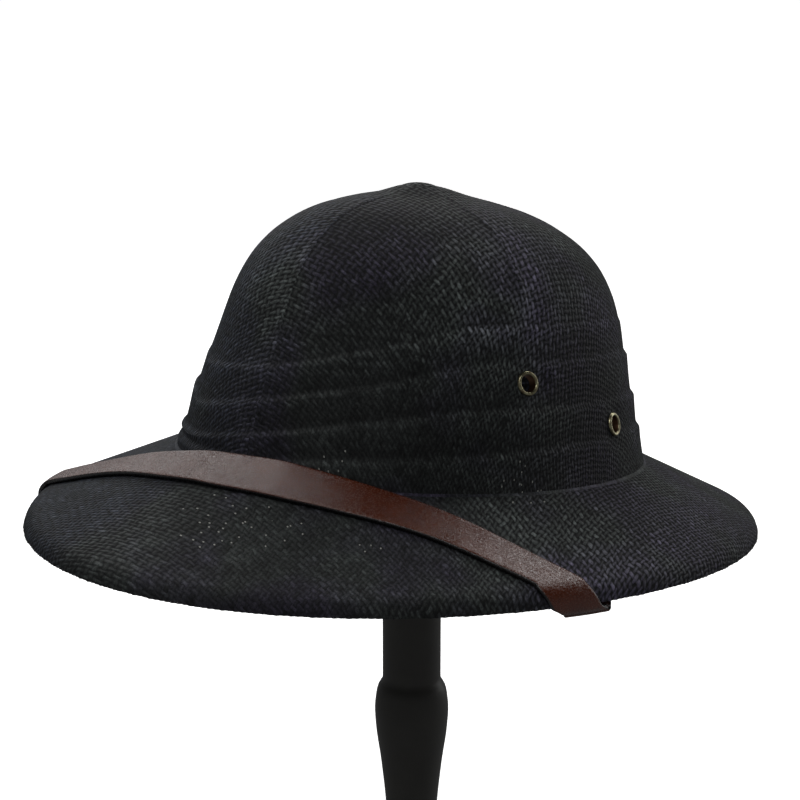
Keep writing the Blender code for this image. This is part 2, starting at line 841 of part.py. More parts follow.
def main():
    clear_scene()
    straw = material("black_straw", (0.022, 0.022, 0.026), 0.75)
    leather = material("brown_leather", (0.11, 0.045, 0.03), 0.5)
    brass = material("aged_brass", (0.35, 0.25, 0.12), 0.4, 1.0)
    black = material("black_lacquered_wood", (0.012, 0.012, 0.013), 0.35)

    hat = bpy.data.objects.new("hat_on_stand", None)
    bpy.context.scene.collection.objects.link(hat)
    hat.location = (0.0, -HAT_FORWARD, RIM_HEIGHT)
    hat.rotation_euler = (math.radians(-HAT_PITCH), 0.0, 0.0)

    build_crown(straw)
    build_brim(straw)
    build_button(straw)
    build_strap(leather)
    for name, direction, share in EYELETS:
        build_eyelet(name, direction, share, brass)
    for piece in list(bpy.context.scene.collection.objects):
        if piece is not hat:
            piece.parent = hat

    bpy.context.view_layer.update()
    head_top = seat_height(hat.matrix_world)
    build_head(head_top, black)
    build_post(head_top, black)
    build_base(black)


main()
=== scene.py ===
"""Dresses the packed straw jungle hat in woven paper straw, oiled leather, brass and black lacquer.

Metres, +Z up, the hat's front along -Y. A direction round the hat is an angle in degrees from its front
towards the wearer's left, and a height on the crown is measured from the crown's foot.
"""

import math
from contextlib import contextmanager
from functools import partial
from itertools import permutations

import bpy
import numpy as np
from bpy.props import FloatProperty, FloatVectorProperty, IntProperty, PointerProperty
from mathutils import Matrix, Vector


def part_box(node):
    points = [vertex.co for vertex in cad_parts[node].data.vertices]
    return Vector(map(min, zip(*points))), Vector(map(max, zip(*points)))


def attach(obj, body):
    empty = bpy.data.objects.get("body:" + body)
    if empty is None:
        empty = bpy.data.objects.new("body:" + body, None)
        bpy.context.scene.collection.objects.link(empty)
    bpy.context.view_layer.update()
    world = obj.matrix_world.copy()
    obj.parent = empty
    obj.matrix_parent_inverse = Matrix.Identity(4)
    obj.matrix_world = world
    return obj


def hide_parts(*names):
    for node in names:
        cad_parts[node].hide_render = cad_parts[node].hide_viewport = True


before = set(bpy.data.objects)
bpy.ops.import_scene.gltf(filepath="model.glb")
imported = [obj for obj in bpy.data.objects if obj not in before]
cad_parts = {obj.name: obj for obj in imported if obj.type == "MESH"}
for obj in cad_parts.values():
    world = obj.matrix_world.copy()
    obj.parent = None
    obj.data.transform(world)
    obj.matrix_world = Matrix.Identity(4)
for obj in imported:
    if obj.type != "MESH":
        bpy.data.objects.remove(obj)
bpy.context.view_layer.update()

bl_info = {
    "name": "Straw Jungle Hat",
    "version": (1, 0, 0),
    "blender": (4, 5, 0),
    "location": "3D View > Sidebar > Jungle Hat",
    "description": "Builds a woven straw jungle hat on its stand",
    "category": "Object",
}

MM = 1000.0
UP = np.array([0.0, 0.0, 1.0])
WHITE = (1.0, 1.0, 1.0, 1.0)
TOUCHING = 0.00001  # points closer than this are one point

# Half outline of the crown: height share, girth share, how far its middle has moved forward
CROWN_OUTLINE = (
    (0.00, 1.000, 0.00), (0.10, 0.966, 0.00), (0.20, 0.937, 0.00), (0.30, 0.905, -0.04),
    (0.40, 0.873, -0.10), (0.50, 0.843, -0.15), (0.60, 0.807, -0.16), (0.70, 0.750, -0.12),
    (0.78, 0.675, -0.03), (0.85, 0.570, 0.14), (0.905, 0.438, 0.42), (0.94, 0.296, 0.60),
    (0.96, 0.200, 0.62), (0.978, 0.135, 0.72), (0.990, 0.086, 0.84), (1.00, 0.000, 0.95),
)

# Height of each pressed fold as a share of the crown's height, and its strength, at these directions
FOLD_DIRECTIONS = (-90.0, -48.0, -30.0, 0.0, 30.0, 60.0, 110.0, 180.0)
FOLDS = (
    (0.040, 0.036, 0.036, 0.050, 0.090, 0.122, 0.150, 0.070),
    (0.098, 0.080, 0.078, 0.132, 0.212, 0.268, 0.272, 0.180),
    (0.240, 0.235, 0.188, 0.250, 0.332, 0.418, 0.430, 0.290),
    (0.370, 0.350, 0.328, 0.365, 0.457, 0.548, 0.553, 0.410),
)
FOLD_STRENGTHS = (
    (0.6, 0.6, 0.7, 0.9, 0.9, 0.9, 1.0, 0.9),
    (1.0, 1.0, 0.9, 1.0, 1.0, 1.0, 1.0, 1.0),
    (1.0, 1.0, 0.9, 1.0, 1.0, 1.0, 1.0, 1.0),
    (0.4, 0.4, 0.8, 1.0, 1.0, 0.8, 0.4, 0.4),
)

# Mesh rows of a pressed fold: share of the way up its swell and its painted light (above zero a painted
# highlight, below zero painted shade), then over the ledge, painted pale on its top and dark in the crease
# above it
FOLD_SWELL = (
    (0.08, -1.0), (0.18, -0.8), (0.30, -0.55), (0.44, -0.35), (0.58, -0.1), (0.70, 0.1),
    (0.80, 0.3), (0.90, 0.55),
)
FOLD_LEDGE = ((0.0, 0.8), (0.2, 0.8), (0.4, 0.6), (0.6, 0.3), (0.8, -0.2), (1.0, -0.7))

# Mesh rows from the folds to the crown's shoulder and on to its top, and the shoulder's height share
SHOULDER_ROWS = 8
DOME_ROWS = 36
SHOULDER = 0.62

# Each gore: direction of the seam it starts at, side on which that seam's lap lies, how much paler it is
# made, how much more so beside the front seam, and how many degrees its weave is skewed
GORES = (
    (0.0, -1.0, -0.12, -0.50, 0.0),
    (70.0, 1.0, 0.15, 0.0, 6.0),
    (144.0, 1.0, 0.0, 0.0, -8.5),
    (216.0, -1.0, 0.0, 0.0, 6.0),
    (290.0, -1.0, 0.25, 0.35, 0.0),
)
SEAMS, SEAM_SIDES, GORE_TONES, FRONT_TONES, GORE_SKEWS = np.array(GORES).T
FRONT_REACH = 16.0  # degrees from the front seam over which the front tones fade
SEAM_CROWDING = 0.09  # how far the mesh columns crowd towards the seams
SEAM_FOOT = 0.011  # height over the folds at which a seam's lap has come up in full

# How much wider the threads are spread in the middle of a sheet
CROWN_WARP_OPENED = 0.0007
CROWN_WEFT_OPENED = 0.0004
BRIM_WEFT_OPENED = 0.0014

BINDING_WIDTH = 0.0007
TOOTH_SEED = 11  # of the uneven thread ends at the rim

# Each eyelet: name, direction, height share
EYELETS = (
    ("eyelet_left_front", 70.0, 0.365),
    ("eyelet_left_rear", 101.0, 0.195),
    ("eyelet_right_front", -70.0, 0.365),
    ("eyelet_right_rear", -101.0, 0.195),
)
EYELET_HOLE = 0.0041  # radius of the hole cut for an eyelet
EYELET_BORE = 0.00342  # inside this radius its brass is tarnished
EYELET_FLAT = (0.0065, 0.0135)  # from its middle, where the straw is flat and where it is free again

# Clusters of lint: place, reach
LINT = (
    (0.0150, -0.1310, 0.2600, 0.024),
    (0.0370, -0.1270, 0.2590, 0.014),
    (0.0835, -0.0391, 0.2655, 0.015),
    (0.0409, -0.0909, 0.2733, 0.012),
    (0.0709, -0.1125, 0.2560, 0.008),
)

# Painted patches of light and shade on the straw: place, reach, how much paler (a painted highlight) or,
# below zero, darker (painted shade)
PAINTED_LIGHT_PATCHES = (
    (0.0615, -0.0233, 0.3400, 0.031, 1.05),
    (0.0666, -0.0392, 0.3160, 0.022, 0.60),
    (0.0003, -0.0693, 0.3426, 0.013, 0.40),
    (0.1248, -0.0526, 0.2455, 0.032, 1.30),
    (0.1043, 0.0206, 0.2504, 0.042, 0.75),
    (0.0741, -0.0580, 0.2640, 0.014, 0.60),
    (0.0890, 0.0071, 0.2720, 0.036, -0.66),
    (0.0074, -0.0388, 0.3600, 0.024, -0.42),
    (0.0149, -0.0074, 0.3660, 0.028, -0.42),
    (-0.0220, -0.0980, 0.2770, 0.015, -0.40),
    (0.0690, -0.0660, 0.2850, 0.026, -0.28),
    (-0.0180, -0.0680, 0.3380, 0.022, 0.42),
    (0.0330, -0.0840, 0.2980, 0.017, -0.32),
    (0.0840, 0.0110, 0.3060, 0.021, -0.34),
)

# Where the dye turned greener (below zero) or more violet: place, reach, how much
DYED = (
    (0.0560, -0.0640, 0.2860, 0.038, -0.22),
    (0.0450, -0.0620, 0.3280, 0.018, -0.12),
    (0.0100, -0.0560, 0.3480, 0.026, 0.10),
    (0.0800, 0.0100, 0.3150, 0.028, 0.14),
    (0.1200, -0.0500, 0.2460, 0.040, 0.08),
)

# Where the weave is pressed flat in the blocking, which also lessens its painted gap shade: place, reach,
# how much of its depth is gone; below zero the weave is deeper and its gaps are painted darker, as painted
# shade
PRESSED = (
    (0.0450, -0.1400, 0.2480, 0.062, 0.85),
    (0.0400, -0.0800, 0.2980, 0.034, 0.45),
    (0.1150, 0.0060, 0.2470, 0.045, -0.70),
)

# Section of an eyelet in millimetres: distance from its axis, height over the straw
EYELET_SECTION = (
    (3.35, -3.20), (3.35, 0.30), (3.47, 0.62), (3.70, 0.84), (4.00, 0.92), (4.32, 0.87),
    (4.60, 0.68), (4.80, 0.38), (4.87, 0.00), (4.50, 0.02), (4.05, 0.02), (3.80, -0.30),
    (3.80, -3.20),
)

# Half outline of the button: share of its radius, height as a share of its edge's way to its peak
BUTTON_OUTLINE = (
    (0.00, 1.00), (0.15, 0.985), (0.30, 0.93), (0.45, 0.83), (0.58, 0.70), (0.70, 0.54),
    (0.80, 0.38), (0.88, 0.24), (0.95, 0.10), (1.00, 0.00),
)

# Half outline of the post: height as a share of the rim's height, radius as a share of the post's
POST_OUTLINE = (
    (0.085, 1.650), (0.105, 1.500), (0.120, 1.150), (0.130, 1.300), (0.150, 1.400), (0.170, 1.300),
    (0.190, 1.000), (0.250, 0.830), (0.340, 0.800), (0.431, 0.900), (0.515, 1.060), (0.585, 1.235),
    (0.620, 1.273), (0.650, 1.225), (0.669, 1.130), (0.677, 1.010), (0.685, 1.000), (1.500, 1.000),
)

# Half outline of the head's side: share of its radius, share of its height; then radii over its dome
HEAD_SIDE = ((0.80, 0.0), (0.93, 0.10), (1.0, 0.24), (1.0, 0.50))
HEAD_DOME = (1.0, 0.97, 0.92, 0.83, 0.70, 0.55, 0.38, 0.20, 0.02)

# Half outline of the base: share of its radius, share of its thickness
BASE_OUTLINE = (
    (0.42, 1.00), (0.60, 0.95), (0.75, 0.86), (0.86, 0.76), (0.93, 0.66), (0.985, 0.50),
    (1.00, 0.30), (0.995, 0.10), (0.985, 0.00),
)

# Each light panel: its power's name in the stage's settings, width and height, where it stands
PANELS = (
    ("back", (1.20, 0.60), (-0.27, 1.30, 1.76)),
    ("left", (1.10, 0.80), (-1.19, -0.25, 1.74)),
    ("sweep", (1.70, 1.00), (-1.42, 1.19, 1.00)),
    ("right", (0.80, 1.40), (0.60, 1.75, 0.70)),
    ("front", (1.20, 0.90), (0.70, -1.10, 1.80)),
)
PANELS_FACE = Vector((0.0, 0.0, 0.28))

CAMERA_PLACE = (0.5015, -0.6273, 0.4701)
CAMERA_TURN, CAMERA_TILT = math.radians(39.0), math.radians(13.36)

# How often a pattern repeats, in cells a metre, with the width of a cell
PAPER_FIBRE = 1100.0  # 0.9 mm
DYE_HUE = 26.0  # 38 mm
THIN_DYE = 42.0  # 24 mm
STRAW_RUB = 75.0  # 13 mm
LEATHER_RUB = 90.0  # 11 mm
LEATHER_PORE = 1400.0  # 0.7 mm
BRASS_STAIN = 700.0  # 1.4 mm
LATHE_RING = 90.0  # 11 mm, and a fourteenth of that along the post
LACQUER_CLOUD = 60.0  # 17 mm
PEBBLE_DEPTH = 0.00004
RING_DEPTH = 0.00008


def size(name, about, default):
    return FloatProperty(
        name=name, description=about, default=default, unit="LENGTH", subtype="DISTANCE"
    )


def share(name, about, default, top=1.0):
    return FloatProperty(
        name=name, description=about, default=default, min=0.0, max=top, subtype="FACTOR"
    )


def angle(name, about, degrees):
    return FloatProperty(
        name=name, description=about, default=math.radians(degrees), subtype="ANGLE"
    )


def power(name, about, watts):
    return FloatProperty(name=name, description=about, default=watts, unit="POWER")


def linear(code):
    """Linear colour from an sRGB hex code."""
    parts = [int(code[i : i + 2], 16) / 255.0 for i in (1, 3, 5)]
    return (*(c / 12.92 if c <= 0.04045 else ((c + 0.055) / 1.055) ** 2.4 for c in parts), 1.0)


def colour(name, about, code):
    return FloatVectorProperty(
        name=name, description=about, default=linear(code), size=4, min=0.0, max=1.0, subtype="COLOR"
    )


class HatSizes(bpy.types.PropertyGroup):
    """Sizes of the blocked straw hat"""

    rim_height: size("Rim height", "Height of the rim's plane over the table", 0.230)
    forward: size("Hat forward", "How far the hat sits in front of the post", 0.004)
    pitch: angle("Pitch", "How far the front is raised", 6.0)
    crown_half_length: size("Crown half length", "Half the crown's length at its foot", 0.106)
    crown_half_width: size("Crown half width", "Half the crown's width at its foot", 0.092)
    crown_back: size("Crown back", "How far back the crown's middle lies", 0.0027)
    crown_height: size("Crown height", "Height of the crown over its foot", 0.1110)
    crown_top_forward: size("Crown top forward", "How far the crown's top leans forward", 0.0085)
    crown_foot: size("Crown foot", "Height of the crown's foot over the rim's plane", 0.0287)
    crown_wall: size("Crown wall", "Thickness of the crown's straw", 0.0018)
    brim_half_length: size("Brim half length", "Half the brim's length", 0.1658)
    brim_half_width: size("Brim half width", "Half the brim's width", 0.1419)
    brim_back: size("Brim back", "How far back the brim's middle lies", -0.0030)
    brim_thickness: size("Brim thickness", "Thickness of the brim's straw", 0.0020)
    brim_edge_radius: size("Brim edge radius", "Radius of the turned-down edge", 0.0080)
    brim_front_dip: size("Brim front dip", "How far the front of the rim dips", 0.0037)
    brim_side_lift: size("Brim side lift", "How far the sides of the rim rise", 0.0017)
    gap: size("Gap", "Clearance between pieces that touch", 0.0003)
    fold_relief: size("Fold relief", "How far a pressed fold stands proud", 0.0011)
    fold_ledge: size("Fold ledge", "Height of the ledge on top of a fold", 0.0020)
    seam_relief: size("Seam relief", "How far a seam's lap stands proud", 0.0005)
    seam_width: size("Seam width", "Width of a seam's lap", 0.0030)
    button_radius: size("Button radius", "Radius of the top button", 0.0072)
    button_height: size("Button height", "Height of the button over the crown's top", 0.0001)
    gore_columns: IntProperty(name="Gore columns", description="Mesh columns in each gore", default=56)
    rim_columns: IntProperty(name="Rim columns", description="Mesh columns round the brim", default=1500)


class StrawSettings(bpy.types.PropertyGroup):
    """Finish of the woven paper straw"""

    warp: size("Warp spacing", "Distance between the threads that run front to back", 0.0023)
    weft: size("Weft spacing", "Distance between the threads that run side to side", 0.0021)
    slant: angle("Slant", "How far the weft leans off square", 8.5)
    thread: share("Thread width", "Half width of a thread as a share of the spacing", 0.40, 0.5)
    dive: share("Dive", "How deep a thread dives where another crosses over it", 0.80)
    relief: size("Weave relief", "Height of a thread over the gaps", 0.00050)
    rim_teeth: size("Rim teeth", "How far the threads stand out at the cut rim", 0.00025)
    deep: colour("Deep thread", "Colour of the darkest threads", "#2A2A2A")
    pale: colour("Pale thread", "Colour of the palest threads", "#58585A")
    # The gaps' colour is painted shade between the threads
    gap_shade: colour("Gaps", "Colour of the gaps between threads", "#272728")
    cool: colour("Cool tint", "Cool tint of some patches", "#DFECE4")
    blue: colour("Blue tint", "Bluer dye of the wearer's right", "#C6D6F0")
    violet: colour("Violet tint", "Violet tint of some patches", "#DFD6FC")
    fleck: colour("Lint", "Colour of the lint", "#BEBEB8")


class LeatherSettings(bpy.types.PropertyGroup):
    """Finish of the chin strap"""

    body: colour("Body", "Colour of the leather's face", "#5D2813")
    worn: colour("Worn", "Colour where the leather is rubbed", "#6E341C")
    edge: colour("Edge", "Colour of the burnished edges", "#0E0807")
    grain: size("Grain", "Width of the leather's pebbles", 0.0006)


class MetalSettings(bpy.types.PropertyGroup):
    """Finish of the eyelets"""

    brass: colour("Brass", "Colour of the rubbed brass", "#B6B18F")
    tarnish: colour("Tarnish", "Colour of the tarnish in its hollows", "#5A3426")


class StandSettings(bpy.types.PropertyGroup):
    """Sizes and finish of the display stand"""

    post_radius: size("Post radius", "Radius of the post under the hat", 0.0125)
    head_radius: size("Head radius", "Radius of the head inside the crown", 0.0420)
    dome_radius: size("Dome radius", "Radius of the head's dome", 0.1100)
    base_radius: size("Base radius", "Radius of the base", 0.0750)
    base_thickness: size("Base thickness", "Thickness of the base", 0.0160)
    sides: IntProperty(name="Sides", description="Mesh columns round the stand", default=96)
    lacquer: colour("Lacquer", "Colour of the lacquer", "#413F3C")
    thin_coat: colour("Thin coat", "Colour where the lacquer is thin", "#4C4B47")


class StageSettings(bpy.types.PropertyGroup):
    """Floor, lights and camera"""

    floor_colour: colour("Floor", "Colour of the floor", "#F4F4F2")
    glow: FloatProperty(name="Floor glow", description="Light given off by the floor", default=0.98)
    room: FloatProperty(name="Room light", description="Light from all round", default=0.10)
    back: power("Back light", "Power high behind", 8.0)
    left: power("Left light", "Power high at the left", 8.5)
    sweep: power("Sweep", "Power of the low white sweep", 5.5)
    right: power("Right light", "Power low at the right", 5.0)
    front: power("Front light", "Power high over the camera", 6.8)
    lens: FloatProperty(name="Lens", description="Focal length in millimetres", default=89.0)


SETTINGS = (
    ("jungle_hat", HatSizes),
    ("jungle_straw", StrawSettings),
    ("jungle_leather", LeatherSettings),
    ("jungle_metal", MetalSettings),
    ("jungle_stand", StandSettings),
    ("jungle_stage", StageSettings),
)


# Mesh helpers


def deselect():
    for other in bpy.context.selected_objects:
        other.select_set(False)


def use(piece):
    """Selects one piece alone and makes it the active one."""
    deselect()
    piece.select_set(True)
    bpy.context.view_layer.objects.active = piece


def grid(name, columns, rows):
    """A grid primitive, with the column and row of each of its points."""
    deselect()
    bpy.ops.mesh.primitive_grid_add(x_subdivisions=columns, y_subdivisions=rows, size=1.0)
    piece = bpy.context.object
    piece.name = piece.data.name = name
    flat = np.array([v.co[:2] for v in piece.data.vertices])
    column = np.rint((flat[:, 0] + 0.5) * columns).astype(int)
    row = np.rint((flat[:, 1] + 0.5) * rows).astype(int)
    return piece, column, row


def lay_out(piece, points):
    """Moves each point of a piece to its place."""
    piece.data.vertices.foreach_set("co", np.asarray(points, np.float32).ravel())
    piece.data.update()


@contextmanager
def editing(piece):
    """Edit mode on one piece, with all of it selected."""
    use(piece)
    bpy.ops.object.mode_set(mode="EDIT")
    bpy.ops.mesh.select_all(action="SELECT")
    yield
    bpy.ops.object.mode_set(mode="OBJECT")


def weld(piece, outward=True):
    """Merges doubled points and turns the faces outwards."""
    with editing(piece):
        bpy.ops.mesh.remove_doubles(threshold=TOUCHING)
        if outward:
            bpy.ops.mesh.normals_make_consistent(inside=False)


def apply(piece, name):
    use(piece)
    bpy.ops.object.modifier_apply(modifier=name)


def smooth(piece, angle=40.0):
    use(piece)
    bpy.ops.object.shade_smooth_by_angle(angle=math.radians(angle))


def mark(piece, name, values):
    """Stores one number for each point."""
    layer = piece.data.attributes.new(name, "FLOAT", "POINT")
    layer.data.foreach_set("value", np.asarray(values, np.float32).ravel())


def unwrap(piece, flat):
    """Stores the weave's own coordinates, counted in threads, for each face corner."""
    layer = piece.data.uv_layers.get("UVMap") or piece.data.uv_layers.new(name="UVMap")
    layer.name = "weave"
    layer.data.foreach_set("uv", np.asarray(flat, np.float32).ravel())


def threads_to(reach, spacing, more):
    """How many threads lie between a sheet's middle and this reach, when they are spread more there."""
    half, ends, wide = 600, 0.3, 0.06
    steps = np.linspace(-ends, ends, 2 * half + 1)
    gaps = spacing + more * np.exp(-((steps / wide) ** 2))
    counts = np.concatenate([[0.0], np.cumsum(np.diff(steps) / ((gaps[1:] + gaps[:-1]) / 2))])
    return np.interp(reach, steps, counts - counts[half])


def age(piece):
    """Stores at each point its painted highlight or shade, how far the weave is pressed flat (which also
    lessens its painted gap shade) and how far it has turned in colour.
    """
    points = np.array([v.co for v in piece.data.vertices])
    for name, table in (("faded", PAINTED_LIGHT_PATCHES), ("pressed", PRESSED), ("dyed", DYED)):
        changed = np.ones(len(points))
        for *place, reach, strength in table:
            away = np.linalg.norm(points - place, axis=1) / reach
            changed *= 1.0 + strength * np.exp(-(away**2))
        mark(piece, name, changed - 1.0)


def corners(piece):
    """Point of each face corner."""
    found = np.zeros(len(piece.data.loops), int)
    piece.data.loops.foreach_get("vertex_index", found)
    return found


def finish_piece(piece, finish, slot, *stands_for):
    """Gives a piece its material and its body, and hides the CAD nodes that it stands for; the slot is not
    used.
    """
    piece.data.materials.clear()
    piece.data.materials.append(finish)
    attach(piece, "root")
    if stands_for:
        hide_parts(*stands_for)


def through(rows, x):
    """Smooth curve through the rows (x, value), without overshoot, at every x."""
    xs, ys = np.array(rows, float).T
    step = np.diff(xs)
    slope = np.diff(ys) / step
    before, after = slope[:-1], slope[1:]
    same = before * after > 0.0
    inner = np.where(same, 2 * before * after / np.where(same, before + after, 1.0), 0.0)
    tangent = np.concatenate(([slope[0]], inner, [slope[-1]]))
    x = np.clip(x, xs[0], xs[-1])
    i = np.clip(np.searchsorted(xs, x, side="right") - 1, 0, len(step) - 1)
    u = (x - xs[i]) / step[i]
    start = ys[i] * (1 + 2 * u) + step[i] * tangent[i] * u
    end = ys[i + 1] * (3 - 2 * u) - step[i] * tangent[i + 1] * (1 - u)
    return start * (1 - u) ** 2 + end * u**2


def ramp(low, high, x):
    u = np.clip((x - low) / (high - low), 0.0, 1.0)
    return u * u * (3 - 2 * u)


def hump(low, top, high, x):
    return ramp(low, top, x) * (1 - ramp(top, high, x))


def sloping(out, slope):
    """Directions down a slope and straight off it."""
    far, drop = np.cos(slope)[:, None], np.sin(slope)[:, None]
    return out * far - UP * drop, out * drop + UP * far


def turned(name, profile, sides):
    """Turned piece from (radius, height) points, closed at both ends."""
    deselect()
    radius, z = profile[0]
    bpy.ops.mesh.primitive_circle_add(
        vertices=sides, radius=radius, fill_type="NGON", location=(0, 0, z)
    )
    piece = bpy.context.object
    piece.name = piece.data.name = name
    bpy.ops.object.transform_apply(location=True)
    with editing(piece):
        for next_radius, next_z in profile[1:]:
            bpy.ops.mesh.extrude_region_move(TRANSFORM_OT_translate={"value": (0, 0, next_z - z)})
            grow = next_radius / radius
            bpy.ops.transform.resize(value=(grow, grow, 1.0), center_override=(0, 0, next_z))
            radius, z = next_radius, next_z
        bpy.ops.mesh.select_all(action="SELECT")
        bpy.ops.mesh.normals_make_consistent(inside=False)
    return piece


# Shape of the hat


def hat_place(hat):
    """Places the hat's own frame on the stand."""
    return Matrix.Translation((0, -hat.forward, hat.rim_height)) @ Matrix.Rotation(-hat.pitch, 4, "X")


def on_stand(hat, points):
    place = np.array(hat_place(hat))
    return np.asarray(points) @ place[:3, :3].T + place[:3, 3]


def around(direction):
    return (direction + 180.0) % 360.0 - 180.0


def round_the_hat(values, direction):
    rows = list(zip(FOLD_DIRECTIONS, values))
    before = (FOLD_DIRECTIONS[-1] - 360.0, values[-1])
    after = (FOLD_DIRECTIONS[0] + 360.0, values[0])
    return through([before, *rows, after], around(direction))


def crown_girth(hat, height):
    return through([row[:2] for row in CROWN_OUTLINE], height / hat.crown_height)


def crown_face(hat, direction, height):
    """Points on the crown's plain outer face."""
    t = np.radians(direction)
    girth = crown_girth(hat, height)
    lean = through([(row[0], row[2]) for row in CROWN_OUTLINE], height / hat.crown_height)
    middle = hat.crown_back - hat.crown_top_forward * lean
    x = hat.crown_half_width * girth * np.sin(t)
    y = middle - hat.crown_half_length * girth * np.cos(t)
    return np.stack([x, y, hat.crown_foot + height + 0 * t], axis=-1)


def crown_normal(hat, direction, height):
    across = crown_face(hat, direction + 0.5, height) - crown_face(hat, direction - 0.5, height)
    rise = hat.crown_height / 200.0
    up = crown_face(hat, direction, height + rise) - crown_face(hat, direction, height - rise)
    normal = np.cross(across, up)
    return normal / np.maximum(np.linalg.norm(normal, axis=-1, keepdims=True), 1e-12)


def by_eyelets(hat, direction, height):
    """0 where an eyelet presses the straw flat, 1 away from it."""
    here = crown_face(hat, direction, height)
    keep = 1.0
    for _, where, rise in EYELETS:
        there = crown_face(hat, np.array(where), np.array(rise * hat.crown_height))
        keep = keep * ramp(*EYELET_FLAT, np.linalg.norm(here - there, axis=-1))
    return keep


def eyelet_seat(hat, where, rise, off=0.0):
    """Middle of an eyelet this far off the crown, and the turn that brings +Z to its axis."""
    where, height = np.array(where), np.array(rise * hat.crown_height)
    normal = crown_normal(hat, where, height)
    axis = hat_place(hat).to_3x3() @ Vector(normal)
    seat = Vector(on_stand(hat, crown_face(hat, where, height) + normal * off))
    return seat, axis.to_track_quat("Z", "Y")


def brim_section(hat, direction):
    """Start, outward direction, slope and straight length of the brim's upper face."""
    t = np.radians(direction)
    start = crown_face(hat, direction, 0.0 * t)
    x = hat.brim_half_width * np.sin(t)
    y = hat.brim_back - hat.brim_half_length * np.cos(t)
    z = -hat.brim_front_dip * np.cos(t) - hat.brim_side_lift * np.cos(2 * t)
    out = np.stack([x - start[..., 0], y - start[..., 1], 0 * t], axis=-1)
    width = np.linalg.norm(out, axis=-1)
    out = out / width[..., None]
    start = start + out * hat.gap
    width = width - hat.gap
    drop = start[..., 2] - z
    slope = np.arctan2(drop, width)
    for _ in range(12):
        rise = drop - hat.brim_edge_radius * np.cos(slope)
        run = width - hat.brim_edge_radius * (1 - np.sin(slope))
        slope = np.arctan2(rise, run)
    return start, out, slope, np.hypot(rise, run)


def foot_depth(hat, direction):
    return hat.brim_thickness / np.cos(brim_section(hat, direction)[2])


# Materials. A noise takes its place, seed, scale, detail and roughness in this order, a range its value,
# the ends of what goes in and of what comes out. A colour mix has its share at 0, its colours at 6 and 7.


def add_node(tree, kind, inputs=(), operation=None, out=0, **settings):
    """Adds a shader node; its inputs are sockets or values, in order or by their names or numbers."""
    made = tree.nodes.new("ShaderNode" + kind)
    if operation:
        made.operation = operation
    for key, value in settings.items():
        setattr(made, key, value)
    if isinstance(inputs, bpy.types.NodeSocket):
        inputs = (inputs,)
    for key, value in (inputs if isinstance(inputs, dict) else dict(enumerate(inputs))).items():
        if isinstance(value, bpy.types.NodeSocket):
            tree.links.new(value, made.inputs[key])
        else:
            made.inputs[key].default_value = value
    return made.outputs[out] if made.outputs else made


def new_material(name, tint):
    """An empty material, and the function that adds its nodes."""
    finish = bpy.data.materials.new(name)
    finish.use_nodes = True
    finish.diffuse_color = tint
    finish.node_tree.nodes.clear()
    return finish, partial(add_node, finish.node_tree)


COLOURS = {"out": 2, "data_type": "RGBA"}


